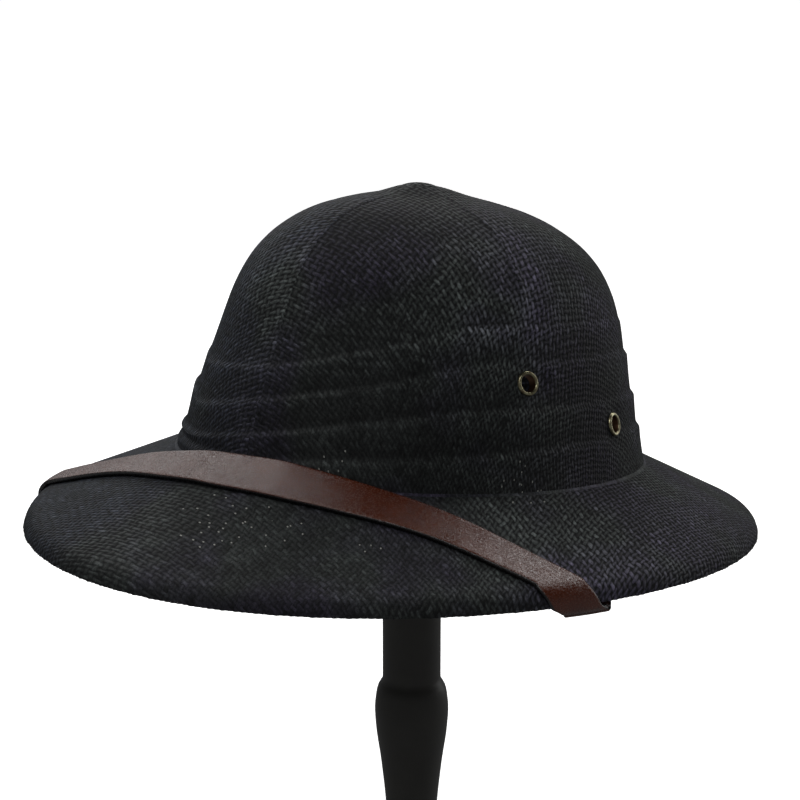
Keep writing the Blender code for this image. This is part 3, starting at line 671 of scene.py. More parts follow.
def woven_straw(straw):
    """Plain-woven twisted paper straw, dyed black and waxed: an open net of round threads over gaps
    painted dark as shade, each thread a little paler or darker than the next, with a dull waxy shine on
    its back; its folds, seams and some patches carry painted highlights and painted shade."""
    found = bpy.data.materials.get("woven_black_paper_straw")
    if found:
        return found
    finish, add = new_material("woven_black_paper_straw", straw.deep)
    flat = add("UVMap", uv_map="weave")
    place = add("TexCoord", out="Object")
    names = ("plain", "fold", "faded", "pressed", "dyed")
    plain, fold, faded, pressed, greener = (
        add("Attribute", out="Fac", attribute_name=name) for name in names
    )

    # The map counts threads; hand-fed ones wander by half their spacing over a few centimetres
    wander = 1.9
    drift = add("TexNoise", (flat, 0.0, 0.13, 3.5, 0.68), out="Color", noise_dimensions="2D")
    swing = add("VectorMath", (drift, (wander,) * 3, (-wander / 2,) * 3), "MULTIPLY_ADD")
    threads = add("VectorMath", (flat, swing), "ADD")
    cell = add("SeparateXYZ", add("VectorMath", threads, "FLOOR")).node.outputs
    along = add("SeparateXYZ", threads).node.outputs

    # Round backs of the threads, and which one lies on top at each crossing
    inside = add("VectorMath", threads, "FRACTION")
    spread, middle = (1.0 / straw.thread,) * 3, (-0.5 / straw.thread,) * 3
    inside = add("VectorMath", (inside, spread, middle), "MULTIPLY_ADD")
    arch = add("VectorMath", (inside, inside), "MULTIPLY")
    arch = add("VectorMath", ((1.0,) * 3, arch), "SUBTRACT")
    arch = add("SeparateXYZ", add("VectorMath", (arch, (0.0,) * 3), "MAXIMUM")).node.outputs
    wave = add("VectorMath", (threads, (math.pi,) * 3), "MULTIPLY")
    wave = add("SeparateXYZ", add("VectorMath", wave, "SINE")).node.outputs
    over = add("Math", (wave[0], wave[1]), "MULTIPLY")
    backs = []
    for k, dive in enumerate((0.5 * straw.dive, -0.5 * straw.dive)):
        lift = add("Math", (over, dive, 1.0 - 0.5 * straw.dive), "MULTIPLY_ADD")
        backs.append(add("Math", (arch[k], lift), "MULTIPLY"))
    height = add("Math", (add("Math", backs, "MAXIMUM"), plain), "MAXIMUM")
    on_warp = add("Math", backs, "GREATER_THAN")

    # One tone for each thread, changing slowly along it
    lanes = []
    for k, seed in enumerate((0.0, 431.7)):
        lane = add("Math", (cell[k], 7.3, seed), "MULTIPLY_ADD")
        run = add("Math", (along[1 - k], 0.22), "MULTIPLY")
        lanes.append(add("CombineXYZ", (lane, run)))
    lane = add("Mix", {0: on_warp, 4: lanes[1], 5: lanes[0]}, out=1, data_type="VECTOR")
    tone = add("TexNoise", (lane, 0.0, 1.0, 2.0, 0.7), noise_dimensions="2D")
    tone = add("MapRange", (tone, 0.30, 0.78))
    dyed = add("Mix", {0: tone, 6: straw.deep, 7: straw.pale}, **COLOURS)
    flash = add("TexWhiteNoise", add("CombineXYZ", (cell[0], cell[1])), noise_dimensions="2D")
    flash = add("MapRange", (flash, 0.0, 1.0, 0.68, 1.26))
    fibre = add("TexNoise", (place, 0.0, PAPER_FIBRE, 3.0, 0.8))
    fibre = add("MapRange", (fibre, 0.3, 0.7, 0.3, 1.7))
    # Painted sheen: where the weft lies on top it is painted paler and where the warp does, darker, as if
    # one thread family caught more of the light
    side = add("MapRange", (on_warp, 0.0, 1.0, 1.12, 0.74))
    for part in (fibre, side):
        flash = add("Math", (flash, part), "MULTIPLY")
    dyed = add("VectorMath", {0: dyed, "Scale": flash}, "SCALE")

    # The dye took unevenly over a few centimetres: greener and more violet patches, some of them
    # thinner, and bluer towards the wearer's right
    hue = add("TexNoise", (place, 3.0, DYE_HUE, 2.0), noise_dimensions="4D")
    bluer = add("VectorMath", (place, (-25.0, 0.0, 4.0)), "DOT_PRODUCT", "Value")
    bluer = add("Math", (hue, 3.0, bluer), "MULTIPLY_ADD")
    bluer = add("MapRange", (bluer, 2.7, 3.7, 0.0, 0.9))
    hue = add("MapRange", (add("Math", (hue, greener), "ADD"), 0.42, 0.60))
    tint = add("Mix", {0: hue, 6: straw.cool, 7: straw.violet}, **COLOURS)
    tint = add("Mix", {0: bluer, 6: tint, 7: straw.blue}, **COLOURS)
    dyed = add("Mix", {0: 1.0, 6: dyed, 7: tint}, **COLOURS, blend_type="MULTIPLY")
    patch = add("TexNoise", (place, 0.0, THIN_DYE, 3.0))
    patch = add("MapRange", (patch, 0.3, 0.7, 1.0, 1.9))

    # Painted highlights on the crests of the folds and seams, broken up by noise, and painted shade
    # wherever the fold tone is below zero: in the creases above the folds, at the crown's foot, on the
    # dome's top, on the brim's turned edge and on the binding
    rubbed = add("TexNoise", (place, 8.0, STRAW_RUB, 2.0), noise_dimensions="4D")
    rubbed = add("MapRange", (rubbed, 0.35, 0.65, 0.1, 0.6))
    crest_highlight = add("Math", (fold, 0.0), "MAXIMUM")
    worn = add("Math", (crest_highlight, rubbed, 1.0), "MULTIPLY_ADD")
    crease = add("MapRange", (fold, -1.0, 0.0, 0.55, 1.0))
    for part in (crease, patch):
        worn = add("Math", (worn, part), "MULTIPLY")
    # Painted patches of highlight and shade; from here worn, and then dyed, carry painted light as well as
    # the dye
    worn = add("Math", (worn, faded, worn), "MULTIPLY_ADD")
    dyed = add("VectorMath", {0: dyed, "Scale": worn}, "SCALE")

    # Painted shade: the gaps and the dips where a thread dives under the next one are painted dark, less
    # so where the weave is pressed flat
    outside_gap_shade = add("MapRange", (height, 0.10, 0.90), interpolation_type="SMOOTHSTEP")
    filled = add("Math", (0.55, outside_gap_shade), "SUBTRACT")
    outside_gap_shade = add("Math", (filled, pressed, outside_gap_shade), "MULTIPLY_ADD")
    woven = add("Mix", {0: outside_gap_shade, 6: straw.gap_shade, 7: dyed}, **COLOURS)

    # Specks of lint in loose clusters, on the brim and low on the crown
    lint = add("TexVoronoi", {"Vector": flat, "Scale": 0.62}, voronoi_dimensions="2D")
    speck = add("MapRange", (lint, 0.070, 0.115, 1.0, 0.0))
    near = 0.0
    for *middle, reach in LINT:
        away = add("VectorMath", (place, middle), "DISTANCE", "Value")
        here = add("MapRange", (away, 0.5 * reach, reach, 0.42, 0.0))
        near = add("Math", (near, here), "MAXIMUM")
    chance = add("SeparateXYZ", lint.node.outputs["Color"])
    near = add("Math", (near, chance), "GREATER_THAN")
    speck = add("Math", (speck, near), "MULTIPLY")
    coloured = add("Mix", {0: speck, 6: woven, 7: straw.fleck}, **COLOURS)

    # The twist of the paper shows as fine slanting grooves, and the wax shines only on the backs
    slant = add("VectorMath", (threads, (30.0, 30.0, 0.0)), "DOT_PRODUCT", "Value")
    surface = add("Math", (add("Math", slant, "SINE"), 0.05, height), "MULTIPLY_ADD")
    depth = add("Math", (pressed, -0.7, 1.0), "MULTIPLY_ADD")
    surface = add("Math", (surface, depth), "MULTIPLY")
    relief = add("Bump", {"Height": surface, "Distance": straw.relief, "Strength": 1.0})
    dull = add("MapRange", (height, 0.1, 0.8, 0.95, 0.50))
    shader = {"Base Color": coloured, "Roughness": dull, "Normal": relief}
    shader["Specular IOR Level"] = 0.16
    add("OutputMaterial", add("BsdfPrincipled", shader))
    return finish


def oiled_leather(leather):
    """Vegetable-tanned cowhide, dyed brown, oiled and burnished at its cut edges: a glossy face with
    fine pebbles that break up its shine, warmer where it is rubbed, and nearly black edges."""
    finish, add = new_material("oiled_brown_cowhide", leather.body)
    place = add("TexCoord", out="Object")
    edge = add("Attribute", out="Fac", attribute_name="edge")

    pebbles = {"Vector": place, "Scale": 1.0 / leather.grain}
    crease = add("MapRange", (add("TexVoronoi", pebbles, feature="DISTANCE_TO_EDGE"), 0.0, 0.22))
    rubbed = add("TexNoise", (place, 0.0, LEATHER_RUB, 4.0, 0.6))
    rubbed = add("MapRange", (rubbed, 0.35, 0.68))
    face = add("Mix", {0: rubbed, 6: leather.body, 7: leather.worn}, **COLOURS)
    # Painted shade in the creases between the pebbles
    deep = add("MapRange", (crease, 0.0, 1.0, 0.6, 1.0))
    face = add("VectorMath", {0: face, "Scale": deep}, "SCALE")
    burnished = add("MapRange", (edge, 0.25, 0.8), interpolation_type="SMOOTHSTEP")
    whole = add("Mix", {0: burnished, 6: face, 7: leather.edge}, **COLOURS)

    fine = add("TexNoise", (place, 0.0, LEATHER_PORE, 3.0))
    surface = add("Math", (fine, 0.5, crease), "MULTIPLY_ADD")
    relief = add("Bump", {"Height": surface, "Distance": PEBBLE_DEPTH, "Strength": 1.0})
    dull = add("MapRange", (fine, 0.38, 0.62, 0.10, 0.34))
    shader = {"Base Color": whole, "Roughness": dull, "Normal": relief, "Specular IOR Level": 0.8}
    add("OutputMaterial", add("BsdfPrincipled", shader))
    return finish


def pressed_brass(metal):
    """Pressed brass, tarnished and rubbed: dull yellow on the roll, brown inside the barrel."""
    finish, add = new_material("tarnished_pressed_brass", metal.brass)
    place = add("TexCoord", out="Object")
    hollow = add("Attribute", out="Fac", attribute_name="hollow")
    stain = add("TexNoise", (place, 0.0, BRASS_STAIN, 4.0))
    stain = add("MapRange", (stain, 0.40, 0.70, 0.0, 0.7))
    dark = add("Math", (stain, hollow), "MAXIMUM")
    tone = add("Mix", {0: dark, 6: metal.brass, 7: metal.tarnish}, **COLOURS)
    rough = add("MapRange", (dark, 0.0, 1.0, 0.26, 0.55))
    shader = {"Base Color": tone, "Roughness": rough, "Metallic": 1.0}
    add("OutputMaterial", add("BsdfPrincipled", shader))
    return finish


def black_lacquer(stand):
    """Beech turned on a lathe and sprayed with satin black lacquer: a soft even shine, cloudy where
    the coat is thin, over the fine rings left by the tool."""
    finish, add = new_material("satin_black_lacquered_beech", stand.lacquer)
    place = add("TexCoord", out="Object")
    squeezed = add("Mapping", {"Vector": place, "Scale": (1.0, 1.0, 14.0)})
    rings = add("TexNoise", (squeezed, 0.0, LATHE_RING, 4.0))
    cloud = add("TexNoise", (place, 0.0, LACQUER_CLOUD, 3.0))
    cloud = add("MapRange", (cloud, 0.3, 0.7))
    shade = add("Mix", {0: cloud, 6: stand.lacquer, 7: stand.thin_coat}, **COLOURS)
    dull = add("MapRange", (cloud, 0.0, 1.0, 0.42, 0.56))
    relief = add("Bump", {"Height": rings, "Distance": RING_DEPTH, "Strength": 0.6})
    shader = {"Base Color": shade, "Roughness": dull, "Normal": relief, "Specular IOR Level": 0.35}
    add("OutputMaterial", add("BsdfPrincipled", shader))
    return finish


# Pieces


def crown_directions(hat):
    """Directions of the crown's mesh columns, closer together at the seams."""
    steps = np.arange(hat.gore_columns) / hat.gore_columns
    eased = steps - SEAM_CROWDING * np.sin(2 * math.pi * steps)
    ends = (*SEAMS[1:], 360.0)
    return np.concatenate([a + (b - a) * eased for a, b in zip(SEAMS, ends)] + [[360.0]])


def fold_levels(hat, direction):
    """Foot, brow and ledge top of each pressed fold and its strengths, from the lowest up."""
    low = 0.0 * direction
    for fold, strengths in zip(FOLDS, FOLD_STRENGTHS):
        top = hat.crown_height * round_the_hat(fold, direction)
        yield low, top - 0.5 * hat.fold_ledge, top + hat.fold_ledge, strengths
        low = top + hat.fold_ledge


def crown_rows(hat, direction):
    """Heights of the crown's mesh rows in each column, and the painted light on each row: above zero a
    painted highlight, below zero painted shade.
    """
    # Painted shade at the crown's foot, in the corner by the brim
    rows = [(-foot_depth(hat, direction), -0.6), (0.0 * direction, -0.6)]
    for low, brow, end, _ in fold_levels(hat, direction):
        rows += [(low + (brow - low) * part, tone) for part, tone in FOLD_SWELL]
        rows += [(brow + (end - brow) * part, tone) for part, tone in FOLD_LEDGE]
    shoulder = SHOULDER * hat.crown_height
    # Painted shade just above the top fold's ledge, gone by the second row
    for k in range(1, SHOULDER_ROWS + 1):
        rows.append((end + (shoulder - end) * k / SHOULDER_ROWS, max(0.0, 1.0 - k / 2) * -0.6))
    for k in range(1, DOME_ROWS + 1):
        left = (hat.crown_height - shoulder) * (1 - k / DOME_ROWS) ** 1.7
        # Painted shade over the upper part of the dome
        tone = -0.8 * ramp(0.30, 0.60, k / DOME_ROWS)
        rows.append((0 * direction + hat.crown_height - left, tone))
    heights, tones = zip(*rows)
    return np.array(heights), np.array(tones)


def crown_relief(hat, direction, height):
    """How far folds and seam laps stand proud of the plain crown, and the painted highlight on each seam's
    lap and the painted shade in the groove beside it.
    """
    proud = np.zeros_like(height)
    for low, brow, end, strengths in fold_levels(hat, direction):
        rising = np.clip((height - low) / (brow - low), 0.0, 1.0) ** 1.25
        bulge = rising * (1 - ramp(brow, end, height)) * round_the_hat(strengths, direction)
        proud = np.where((height >= low) & (height < end), hat.fold_relief * bulge, proud)
    radius = (hat.crown_half_length + hat.crown_half_width) / 2 * crown_girth(hat, height)
    lap = np.zeros_like(height)
    tone = np.zeros_like(height)
    for seam, side in zip(SEAMS, SEAM_SIDES):
        off = side * np.radians(around(direction - seam)) * radius / hat.seam_width
        lap = np.maximum(lap, hump(-0.30, 0.30, 1.2, off))
        # Painted highlight on the lap and painted shade in the groove beside it
        tone += 1.1 * hump(0.0, 0.35, 0.9, off) - 0.9 * hump(-0.5, -0.15, 0.1, off)
    fade = ramp(0.0, SEAM_FOOT, height - end) * (1 - ramp(0.93, 0.98, height / hat.crown_height))
    return (proud + hat.seam_relief * lap * fade) * by_eyelets(hat, direction, height), tone * fade


class JUNGLEHAT_OT_crown(bpy.types.Operator):
    """Weave the crown with its folds, seams and eyelet holes"""

    bl_idname = "junglehat.crown"
    bl_label = "Crown"

    def execute(self, context):
        hat = context.scene.jungle_hat
        directions = crown_directions(hat)
        heights, tones = crown_rows(hat, directions)
        columns, rows = len(directions) - 1, len(heights) - 1
        piece, column, row = grid("crown_straw", columns, rows)
        t, h = directions[column], heights[row, column]
        proud, seam_light_and_shade = crown_relief(hat, t, h)
        face = crown_face(hat, t, h) + crown_normal(hat, t, h) * proud[:, None]
        lay_out(piece, on_stand(hat, face))
        # The fold attribute holds the painted highlights and shade of the folds and seams, plus each
        # gore's tone
        tone = tones[row] * by_eyelets(hat, t, h) + seam_light_and_shade + self.gore_tone(hat, column, t)
        mark(piece, "fold", tone)
        self.lay_threads(hat, context.scene.jungle_straw, piece, directions, heights, column, row)
        age(piece)
        weld(piece)
        wall = piece.modifiers.new("wall", "SOLIDIFY")
        wall.thickness = hat.crown_wall
        wall.offset = -1.0
        apply(piece, "wall")
        self.punch(hat, piece)
        smooth(piece)
        finish_piece(piece, woven_straw(context.scene.jungle_straw), "straw", "crown")
        return {"FINISHED"}

    def gore_tone(self, hat, column, direction):
        """How much paler or darker each gore is made, most of all by the front seam."""
        beside = np.exp(-((around(direction) / FRONT_REACH) ** 2))
        gore = np.minimum(column // hat.gore_columns, len(GORES) - 1)
        return GORE_TONES[gore] + FRONT_TONES[gore] * beside

    def lay_threads(self, hat, straw, piece, directions, heights, column, row):
        """The crown is blocked from flat sheets that meet at the seams: warp runs front to back over the
        dome and weft from side to side, and the right half mirrors the left."""
        t = np.broadcast_to(directions, heights.shape)
        face = crown_face(hat, t, heights)
        steps = np.linalg.norm(np.diff(face, axis=0), axis=2)
        down = np.vstack([np.cumsum(steps[::-1], axis=0)[::-1], np.zeros(steps.shape[1])])
        vertex = corners(piece).reshape(-1, 4)
        c, r = column[vertex], row[vertex]
        gore = c.min(axis=1, keepdims=True) // hat.gore_columns
        right = gore > 2
        turn = np.where(right, -1.0, 1.0) * np.radians(directions[c] - np.where(right, 360.0, 0.0))
        skew = straw.slant + np.radians(GORE_SKEWS[gore])
        lean = turn + skew - straw.slant - math.radians(7) * np.sin(2 * turn)
        u = threads_to(down[r, c] * np.sin(lean), straw.warp, CROWN_WARP_OPENED)
        v = threads_to(down[r, c] * np.cos(turn + skew), straw.weft, CROWN_WEFT_OPENED)
        apart = (30.37, 17.13)  # no two gores carry the same threads
        unwrap(piece, np.stack([u + apart[0] * gore, v + apart[1] * gore], axis=-1))

    def punch(self, hat, piece):
        """Cuts the four eyelet holes."""
        for name, where, rise in EYELETS:
            seat, turn = eyelet_seat(hat, where, rise)
            deselect()
            bpy.ops.mesh.primitive_cylinder_add(
                vertices=32, radius=EYELET_HOLE, depth=0.012, location=seat, rotation=turn.to_euler()
            )
            cutter = bpy.context.object
            cut = piece.modifiers.new(name, "BOOLEAN")
            cut.operation = "DIFFERENCE"
            cut.solver = "EXACT"
            cut.object = cutter
            apply(piece, name)
            bpy.data.objects.remove(cutter, do_unlink=True)


class JUNGLEHAT_OT_brim(bpy.types.Operator):
    """Weave the brim with its turned-down, serrated edge"""

    bl_idname = "junglehat.brim"
    bl_label = "Brim"

    # Mesh rows over the straight part and over the turned edge
    straight_rows = 14
    edge_rows = 10

    # How far the warp fans out, how far ahead of the middle, and over what length and width
    fan = (0.023, 0.065, 0.060, 0.040)

    # How far the weft bows forward, how far off the middle, and over what width
    bow = (0.0098, 0.015, 0.035)

    # Spacing of the warp as a share of the crown's
    warp_share = 0.89

    def execute(self, context):
        hat = context.scene.jungle_hat
        straw = context.scene.jungle_straw
        directions = np.linspace(0.0, 360.0, hat.rim_columns + 1)
        start, out, slope, straight = brim_section(hat, directions)
        along, normal = sloping(out, slope)
        section = self.section()
        piece, column, row = grid("brim_straw", hat.rim_columns, len(section) - 1)
        teeth = straw.rim_teeth * self.teeth(hat.rim_columns)
        points, flat = [], []
        for run, turn, deep in section:
            length = straight * run
            tilt = slope + (math.pi / 2 - slope) * turn
            off = hat.brim_edge_radius - deep * hat.brim_thickness + teeth * turn**2
            here = start + along * length[:, None] - normal * hat.brim_edge_radius
            here = here + sloping(out, tilt)[1] * off[:, None]
            if turn == 1.0:
                here[:, 2] -= teeth * (1.0 if deep == 0.5 else 0.4)
            points.append(here)
            reach = length + hat.brim_edge_radius * (tilt - slope)
            flat.append(start[:, :2] + out[:, :2] * reach[:, None])
        points, flat = np.array(points), np.array(flat)
        bottom = len(section) - 2
        points[bottom, :, :2] = start[:, :2]
        points[bottom, :, 2] = start[:, 2] - hat.brim_thickness / np.cos(slope)
        lay_out(piece, on_stand(hat, points[row, column]))
        # Painted shade on the turned-down edge, darkest where it faces down
        mark(piece, "fold", -0.6 * np.array([turn for _, turn, _ in section])[row])
        vertex = corners(piece)
        unwrap(piece, self.threads(straw, flat[row[vertex], column[vertex]]))
        age(piece)
        weld(piece)
        smooth(piece, 50.0)
        finish_piece(piece, woven_straw(straw), "straw", "brim")
        return {"FINISHED"}

    def section(self):
        """Rows out over the top, round the rim and back underneath: share of the straight part, share of
        the turn, share of the thickness."""
        runs = [(k / self.straight_rows, 0.0) for k in range(self.straight_rows)]
        runs += [(1.0, k / self.edge_rows) for k in range(self.edge_rows + 1)]
        rows = [(*run, 0.0) for run in runs] + [(1.0, 1.0, 0.5)]
        rows += [(*run, 1.0) for run in reversed(runs)]
        return [*rows, rows[0]]

    def threads(self, straw, flat):
        """One sheet for the whole brim: warp front to back, fanned out in front of the ears, and weft
        bowed forward in the middle and pulled open at the sides."""
        x, y = flat[:, 0], flat[:, 1]
        far, ahead, length, width = self.fan
        fanned = far * np.tanh((y + ahead) / length) * np.tanh(x / width)
        far, aside, width = self.bow
        bowed = far * np.log(np.cosh((x + aside) / width))
        weft = threads_to(y + bowed, straw.weft, BRIM_WEFT_OPENED)
        return np.stack([(x + fanned) / (self.warp_share * straw.warp), weft], axis=-1)

    def teeth(self, columns):
        """How far each thread end stands out along the rim, from -1 to 1."""
        chance = np.random.default_rng(TOOTH_SEED)
        count = columns // 4
        ends = chance.uniform(-1.0, 1.0, count)
        place = np.arange(columns + 1) / columns * count
        left = np.floor(place).astype(int)
        blend = (1 - np.cos(math.pi * (place - left))) / 2
        wander = ends[left % count] * (1 - blend) + ends[(left + 1) % count] * blend
        return 0.6 * wander + 0.4 * np.cos(2 * math.pi * place)


class JUNGLEHAT_OT_trim(bpy.types.Operator):
    """Close the crown's foot with its binding and set the top button"""

    bl_idname = "junglehat.trim"
    bl_label = "Foot binding and button"

    def execute(self, context):
        hat = context.scene.jungle_hat
        straw = woven_straw(context.scene.jungle_straw)
        self.binding(hat, straw)
        self.button(hat, straw)
        return {"FINISHED"}

    def binding(self, hat, straw):
        """A narrow paper tape pressed into the corner between crown and brim."""
        width, steps, columns = BINDING_WIDTH, 6, 720
        directions = np.linspace(0.0, 360.0, columns + 1)
        piece, column, row = grid("foot_binding", columns, 2 * steps)
        start, out, slope, _ = brim_section(hat, directions)
        ahead = sloping(out, slope)[0]
        wall = crown_face(hat, directions, np.full_like(directions, width)) - start
        back = row > steps
        turn = np.where(back, 2 * steps - row, row) / steps * math.pi / 2
        far, high = 1 - np.sin(turn) - 0.25 * back, 1 - np.cos(turn) - 0.25 * back
        place = start[column] + width * ahead[column] * far[:, None] + wall[column] * high[:, None]
        lay_out(piece, on_stand(hat, place))
        vertex = corners(piece)
        threads = 40.0  # in a radian round the hat
        run = np.radians(directions)[column[vertex]] * threads
        unwrap(piece, np.stack([run, far[vertex]], axis=-1))
        # Painted shade on the binding, in the corner between crown and brim
        mark(piece, "fold", np.full(len(row), -0.2))
        mark(piece, "plain", np.ones(len(row)))
        weld(piece)
        smooth(piece, 80.0)
        finish_piece(piece, straw, "straw")

    def button(self, hat, straw):
        """The straw-covered button that hides the seams' meeting point."""
        girths = [(row[1], row[0]) for row in reversed(CROWN_OUTLINE)]
        mean = (hat.crown_half_length + hat.crown_half_width) / 2
        radius, hub = hat.button_radius, 0.02
        edge = hat.crown_foot + hat.crown_height * float(through(girths, radius / mean))
        peak = hat.crown_foot + hat.crown_height + hat.gap + hat.button_height
        profile = [(max(r, hub) * radius, edge + (peak - edge) * z) for r, z in BUTTON_OUTLINE]
        profile += [(0.9 * radius, edge - hat.gap), (hub * radius, edge - hat.gap)]
        piece = turned("top_button_straw", profile, 48)
        middle = crown_face(hat, np.array(0.0), np.array(hat.crown_height))
        points = np.array([v.co for v in piece.data.vertices]) + np.array([0.0, middle[1], 0.0])
        lay_out(piece, on_stand(hat, points))
        thread = 0.0023
        unwrap(piece, (points[:, :2] / thread)[corners(piece)])
        smooth(piece, 50.0)
        finish_piece(piece, straw, "straw", "top_button")


class JUNGLEHAT_OT_eyelets(bpy.types.Operator):
    """Set the four brass eyelets"""

    bl_idname = "junglehat.eyelets"
    bl_label = "Eyelets"

    def execute(self, context):
        hat = context.scene.jungle_hat
        brass = pressed_brass(context.scene.jungle_metal)
        first = self.model()
        for name, where, rise in EYELETS:
            seat, turn = eyelet_seat(hat, where, rise, hat.gap)
            piece = first.copy()
            piece.data = first.data.copy()
            piece.name = piece.data.name = name + "_brass"
            context.scene.collection.objects.link(piece)
            piece.data.transform(Matrix.Translation(seat) @ turn.to_matrix().to_4x4())
            finish_piece(piece, brass, "eyelets", name)
        bpy.data.objects.remove(first, do_unlink=True)
        return {"FINISHED"}

    def model(self):
        """One eyelet, its section spun round its axis."""
        deselect()
        bpy.ops.mesh.primitive_circle_add(vertices=len(EYELET_SECTION), radius=1.0)
        piece = bpy.context.object
        lay_out(piece, [(x / MM, 0.0, z / MM) for x, z in EYELET_SECTION])
        with editing(piece):
            bpy.ops.mesh.spin(steps=48, angle=2 * math.pi, center=(0, 0, 0), axis=(0, 0, 1))
        weld(piece)
        depth = np.array([(math.hypot(v.co.x, v.co.y), v.co.z) for v in piece.data.vertices])
        hollow = (depth[:, 0] < EYELET_BORE) | (depth[:, 1] < -0.0001)
        mark(piece, "hollow", np.where(hollow, 0.9, 0.0))
        smooth(piece, 60.0)
        return piece


class JUNGLEHAT_OT_strap(bpy.types.Operator):
    """Cut the leather chin strap, from its anchors inside the crown over the front of the brim"""

    bl_idname = "junglehat.strap"
    bl_label = "Chin strap"

    # Half the strap's section, over the face and under it: share of its width, share of its thickness, how
    # much it is a cut edge
    face = (
        (0.000, 0.45, 1.0), (0.004, 0.70, 1.0), (0.018, 0.90, 0.7), (0.045, 0.985, 0.2), (0.09, 1.0, 0.0),
        (0.20, 1.0, 0.0), (0.35, 1.02, 0.0), (0.50, 1.03, 0.0),
    )
    back = (
        (0.50, 0.0, 0.2), (0.25, 0.0, 0.2), (0.07, 0.0, 0.4), (0.025, 0.03, 0.9), (0.006, 0.18, 1.0),
    )

    def execute(self, context):
        rows = self.refine(self.read_rows(context.scene.jungle_hat), 4)
        over = [(1 - w, *rest) for w, *rest in reversed(self.face[:-1])]
        under = [(1 - w, *rest) for w, *rest in reversed(self.back[1:])]
        section = (*self.face, *over, *under, *self.back, self.face[0])
        piece, column, row = grid("chin_strap_leather", len(section) - 1, len(rows) - 1)
        across, off, edge = np.array(section).T
        corner = rows[row].swapaxes(0, 1)
        inner = self.over_width(*corner[:3], across[column])
        outer = self.over_width(*corner[:2:-1], across[column])
        lay_out(piece, inner + (outer - inner) * off[column, None])
        mark(piece, "edge", edge[column])
        weld(piece)
        with editing(piece):
            bpy.ops.mesh.select_all(action="DESELECT")
            bpy.ops.mesh.select_non_manifold()
            bpy.ops.mesh.fill_holes(sides=0)
            bpy.ops.mesh.select_all(action="SELECT")
            bpy.ops.mesh.normals_make_consistent(inside=False)
        smooth(piece, 50.0)
        finish_piece(piece, oiled_leather(context.scene.jungle_leather), "strap", "chin_strap")
        return {"FINISHED"}

    def over_width(self, a, b, c, w):
        """Point at a share of the width on the curve through three points."""
        w = w[:, None]
        return a * (2 * w - 1) * (w - 1) + b * 4 * w * (1 - w) + c * w * (2 * w - 1)

    def refine(self, rows, parts):
        """Smooth rows between the given ones."""
        last = len(rows) - 1
        place = np.arange(last * parts + 1) / parts
        i = np.minimum(place.astype(int), last - 1)
        u = (place - i)[:, None, None]
        p0, p1 = rows[np.maximum(i - 1, 0)], rows[i]
        p2, p3 = rows[i + 1], rows[np.minimum(i + 2, last)]
        curve = 2 * p1 + (p2 - p0) * u + (2 * p0 - 5 * p1 + 4 * p2 - p3) * u**2
        return (curve + (3 * p1 - p0 - 3 * p2 + p3) * u**3) / 2

    def read_rows(self, hat):
        """The six corners of each row across the packed strap, inner face first."""
        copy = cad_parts["chin_strap"].copy()
        copy.data = copy.data.copy()
        bpy.context.scene.collection.objects.link(copy)
        copy.parent = None
        weld(copy, outward=False)
        points = np.array([v.co for v in copy.data.vertices])
        near = [set() for _ in points]
        for edge in copy.data.edges:
            a, b = edge.vertices
            near[a].add(b)
            near[b].add(a)
        bpy.data.objects.remove(copy, do_unlink=True)

        place = np.array(hat_place(hat))
        own = (points - place[:3, 3]) @ place[:3, :3]
        beyond = -0.07  # the strap's first end hangs further than this to the wearer's right
        right = np.where(own[:, 0] < beyond)[0]
        layer = sorted(right, key=lambda k: -own[k, 2])[:6]
        seen, layers = set(layer), [layer]
        while True:
            layer = sorted({n for k in layers[-1] for n in near[k]} - seen)
            if not layer:
                break
            seen.update(layer)
            layers.append(layer)

        ring = [layers[1][0]]
        while len(ring) < 6:
            ring.append(next(n for n in near[ring[-1]] if n in layers[1] and n not in ring))
        rings = [ring]
        for layer in layers[2:]:
            rings.append(self.follow(points, rings[-1], layer))
        rings.insert(0, self.follow(points, ring, layers[0]))
        rows = points[np.array(rings)]
        sides = np.linalg.norm(rows - np.roll(rows, -1, axis=1), axis=2).mean(axis=0)
        rows = np.roll(rows, -int(np.argmin(sides)) - 1, axis=1)
        middle = rows[len(rows) // 2]
        if middle[:3, 2].mean() > middle[3:, 2].mean():
            rows = np.roll(rows, -3, axis=1)
        return rows

    def follow(self, points, ring, layer):
        """The next ring's points, in the same order round the strap."""
        far = lambda order: np.linalg.norm(points[list(order)] - points[ring], axis=1).sum()
        return list(min(permutations(layer), key=far))


class JUNGLEHAT_OT_stand(bpy.types.Operator):
    """Turn the lacquered stand"""

    bl_idname = "junglehat.stand"
    bl_label = "Display stand"

    def execute(self, context):
        hat = context.scene.jungle_hat
        stand = context.scene.jungle_stand
        lacquer = black_lacquer(stand)
        low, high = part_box("stand_head")
        profiles = {
            "stand_post": self.post(hat, stand, low.z),
            "stand_head": self.head(stand, low.z, high.z),
            "stand_base": [
                (stand.base_radius * r, stand.base_thickness * z) for r, z in reversed(BASE_OUTLINE)
            ],
        }
        for node, profile in profiles.items():
            piece = turned(node + "_lacquered", profile, stand.sides)
            smooth(piece, 50.0)
            finish_piece(piece, lacquer, "stand", node)
        return {"FINISHED"}

    def post(self, hat, stand, top):
        low, plain = stand.base_thickness + hat.gap, 0.70 * hat.rim_height
        heights = np.concatenate([np.linspace(low, plain, 90), [top - hat.gap]])
        radii = stand.post_radius * through(POST_OUTLINE, heights / hat.rim_height)
        return list(zip(radii, heights))

    def head(self, stand, low, high):
        radius, dome = stand.head_radius, stand.dome_radius
        profile = [(part * radius, low + rise * (high - low)) for part, rise in HEAD_SIDE]
        for part in HEAD_DOME:
            drop = dome - math.sqrt(dome**2 - (part * radius) ** 2)
            profile.append((part * radius, high - drop))
        return profile


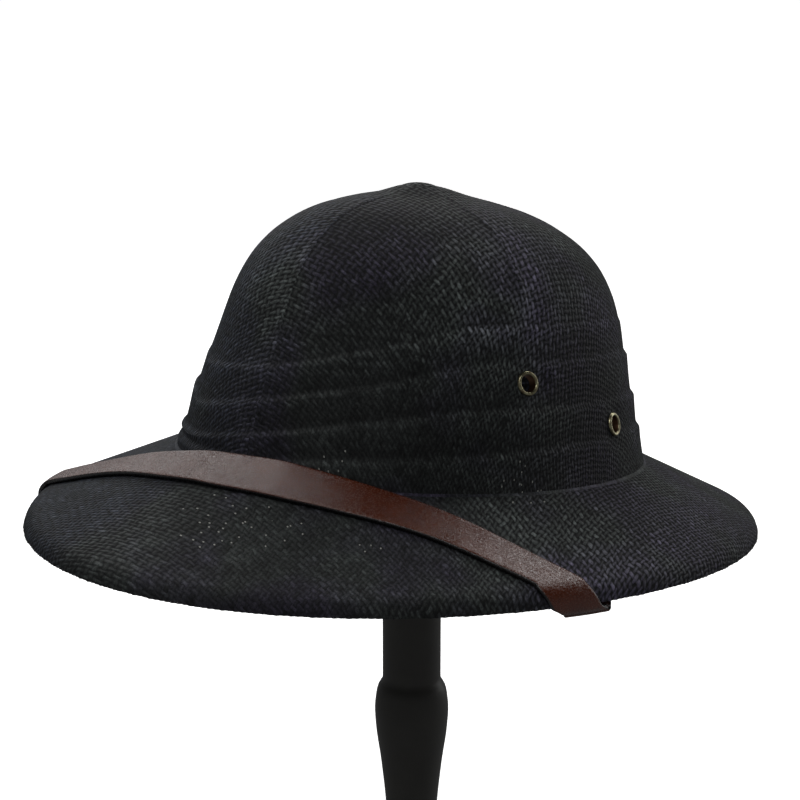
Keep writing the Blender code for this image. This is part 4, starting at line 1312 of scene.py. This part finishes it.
class JUNGLEHAT_OT_stage(bpy.types.Operator):
    """Set the floor, the studio lights and the camera"""

    bl_idname = "junglehat.stage"
    bl_label = "Stage"

    def execute(self, context):
        stage = context.scene.jungle_stage
        self.floor(stage)
        self.room(context.scene, stage)
        for name, extent, place in PANELS:
            self.panel(name + "_panel", getattr(stage, name), extent, place)
        self.camera(context.scene, stage)
        return {"FINISHED"}

    def floor(self, stage):
        deselect()
        bpy.ops.mesh.primitive_circle_add(vertices=96, radius=14.0, fill_type="NGON")
        floor = bpy.context.object
        floor.name = "floor"
        finish, add = new_material("matt_white_floor", stage.floor_colour)
        shader = {"Base Color": stage.floor_colour, "Roughness": 0.9}
        shader.update({"Emission Color": WHITE, "Emission Strength": stage.glow})
        add("OutputMaterial", add("BsdfPrincipled", shader))
        floor.data.materials.append(finish)
        floor.visible_diffuse = False
        floor.visible_glossy = False

    def room(self, scene, stage):
        """The white sweep glows all round, and the ceiling over it is dark."""
        world = bpy.data.worlds.new("studio")
        scene.world = world
        world.use_nodes = True
        world.node_tree.nodes.clear()
        add = partial(add_node, world.node_tree)
        seen = add("LightPath", out="Is Camera Ray")
        plain = add("Background", (WHITE, 1.0))
        up = add("SeparateXYZ", add("TexCoord", out="Generated"), out="Z")
        glow = add("MapRange", (up, 0.10, 0.60, 1.5 * stage.room, 0.1 * stage.room))
        lit = add("Background", ((0.96, 0.98, 1.0, 1.0), glow))
        add("OutputWorld", add("MixShader", (seen, lit, plain)))
        scene.view_settings.view_transform = "Standard"
        scene.view_settings.look = "None"

    def panel(self, name, watts, extent, place):
        """A soft light panel, its width and height, and where it stands."""
        light = bpy.data.lights.new(name, "AREA")
        light.shape = "RECTANGLE"
        light.size, light.size_y = extent
        light.energy = watts
        lamp = bpy.data.objects.new(name, light)
        bpy.context.scene.collection.objects.link(lamp)
        lamp.location = place
        lamp.rotation_euler = (PANELS_FACE - Vector(place)).to_track_quat("-Z", "Y").to_euler()

    def camera(self, scene, stage):
        level = math.cos(CAMERA_TILT)
        look = (-math.sin(CAMERA_TURN) * level, math.cos(CAMERA_TURN) * level, -math.sin(CAMERA_TILT))
        lens = bpy.data.cameras.new("camera")
        lens.lens = stage.lens
        lens.sensor_width = 36.0
        camera = bpy.data.objects.new("camera", lens)
        scene.collection.objects.link(camera)
        camera.location = CAMERA_PLACE
        camera.rotation_euler = Vector(look).to_track_quat("-Z", "Y").to_euler()
        scene.camera = camera


class JUNGLEHAT_PT_sidebar(bpy.types.Panel):
    """Lists the pieces of the hat"""

    bl_idname = "JUNGLEHAT_PT_sidebar"
    bl_label = "Jungle Hat"
    bl_space_type = "VIEW_3D"
    bl_region_type = "UI"
    bl_category = "Jungle Hat"

    def draw(self, context):
        for maker in MAKERS:
            self.layout.operator(maker.bl_idname)
        for name, group in SETTINGS:
            box = self.layout.box()
            box.label(text=group.__doc__)
            for field in group.__annotations__:
                box.prop(getattr(context.scene, name), field)


MAKERS = (
    JUNGLEHAT_OT_crown,
    JUNGLEHAT_OT_brim,
    JUNGLEHAT_OT_trim,
    JUNGLEHAT_OT_eyelets,
    JUNGLEHAT_OT_strap,
    JUNGLEHAT_OT_stand,
    JUNGLEHAT_OT_stage,
)


CLASSES = (*(group for _, group in SETTINGS), *MAKERS, JUNGLEHAT_PT_sidebar)


def register():
    for item in CLASSES:
        bpy.utils.register_class(item)
    for name, group in SETTINGS:
        setattr(bpy.types.Scene, name, PointerProperty(type=group))


def unregister():
    for name, _ in SETTINGS:
        delattr(bpy.types.Scene, name)
    for item in reversed(CLASSES):
        bpy.utils.unregister_class(item)


def main():
    register()
    bpy.ops.junglehat.crown()
    bpy.ops.junglehat.brim()
    bpy.ops.junglehat.trim()
    bpy.ops.junglehat.eyelets()
    bpy.ops.junglehat.strap()
    bpy.ops.junglehat.stand()
    bpy.ops.junglehat.stage()


if __name__ == "__main__":
    main()
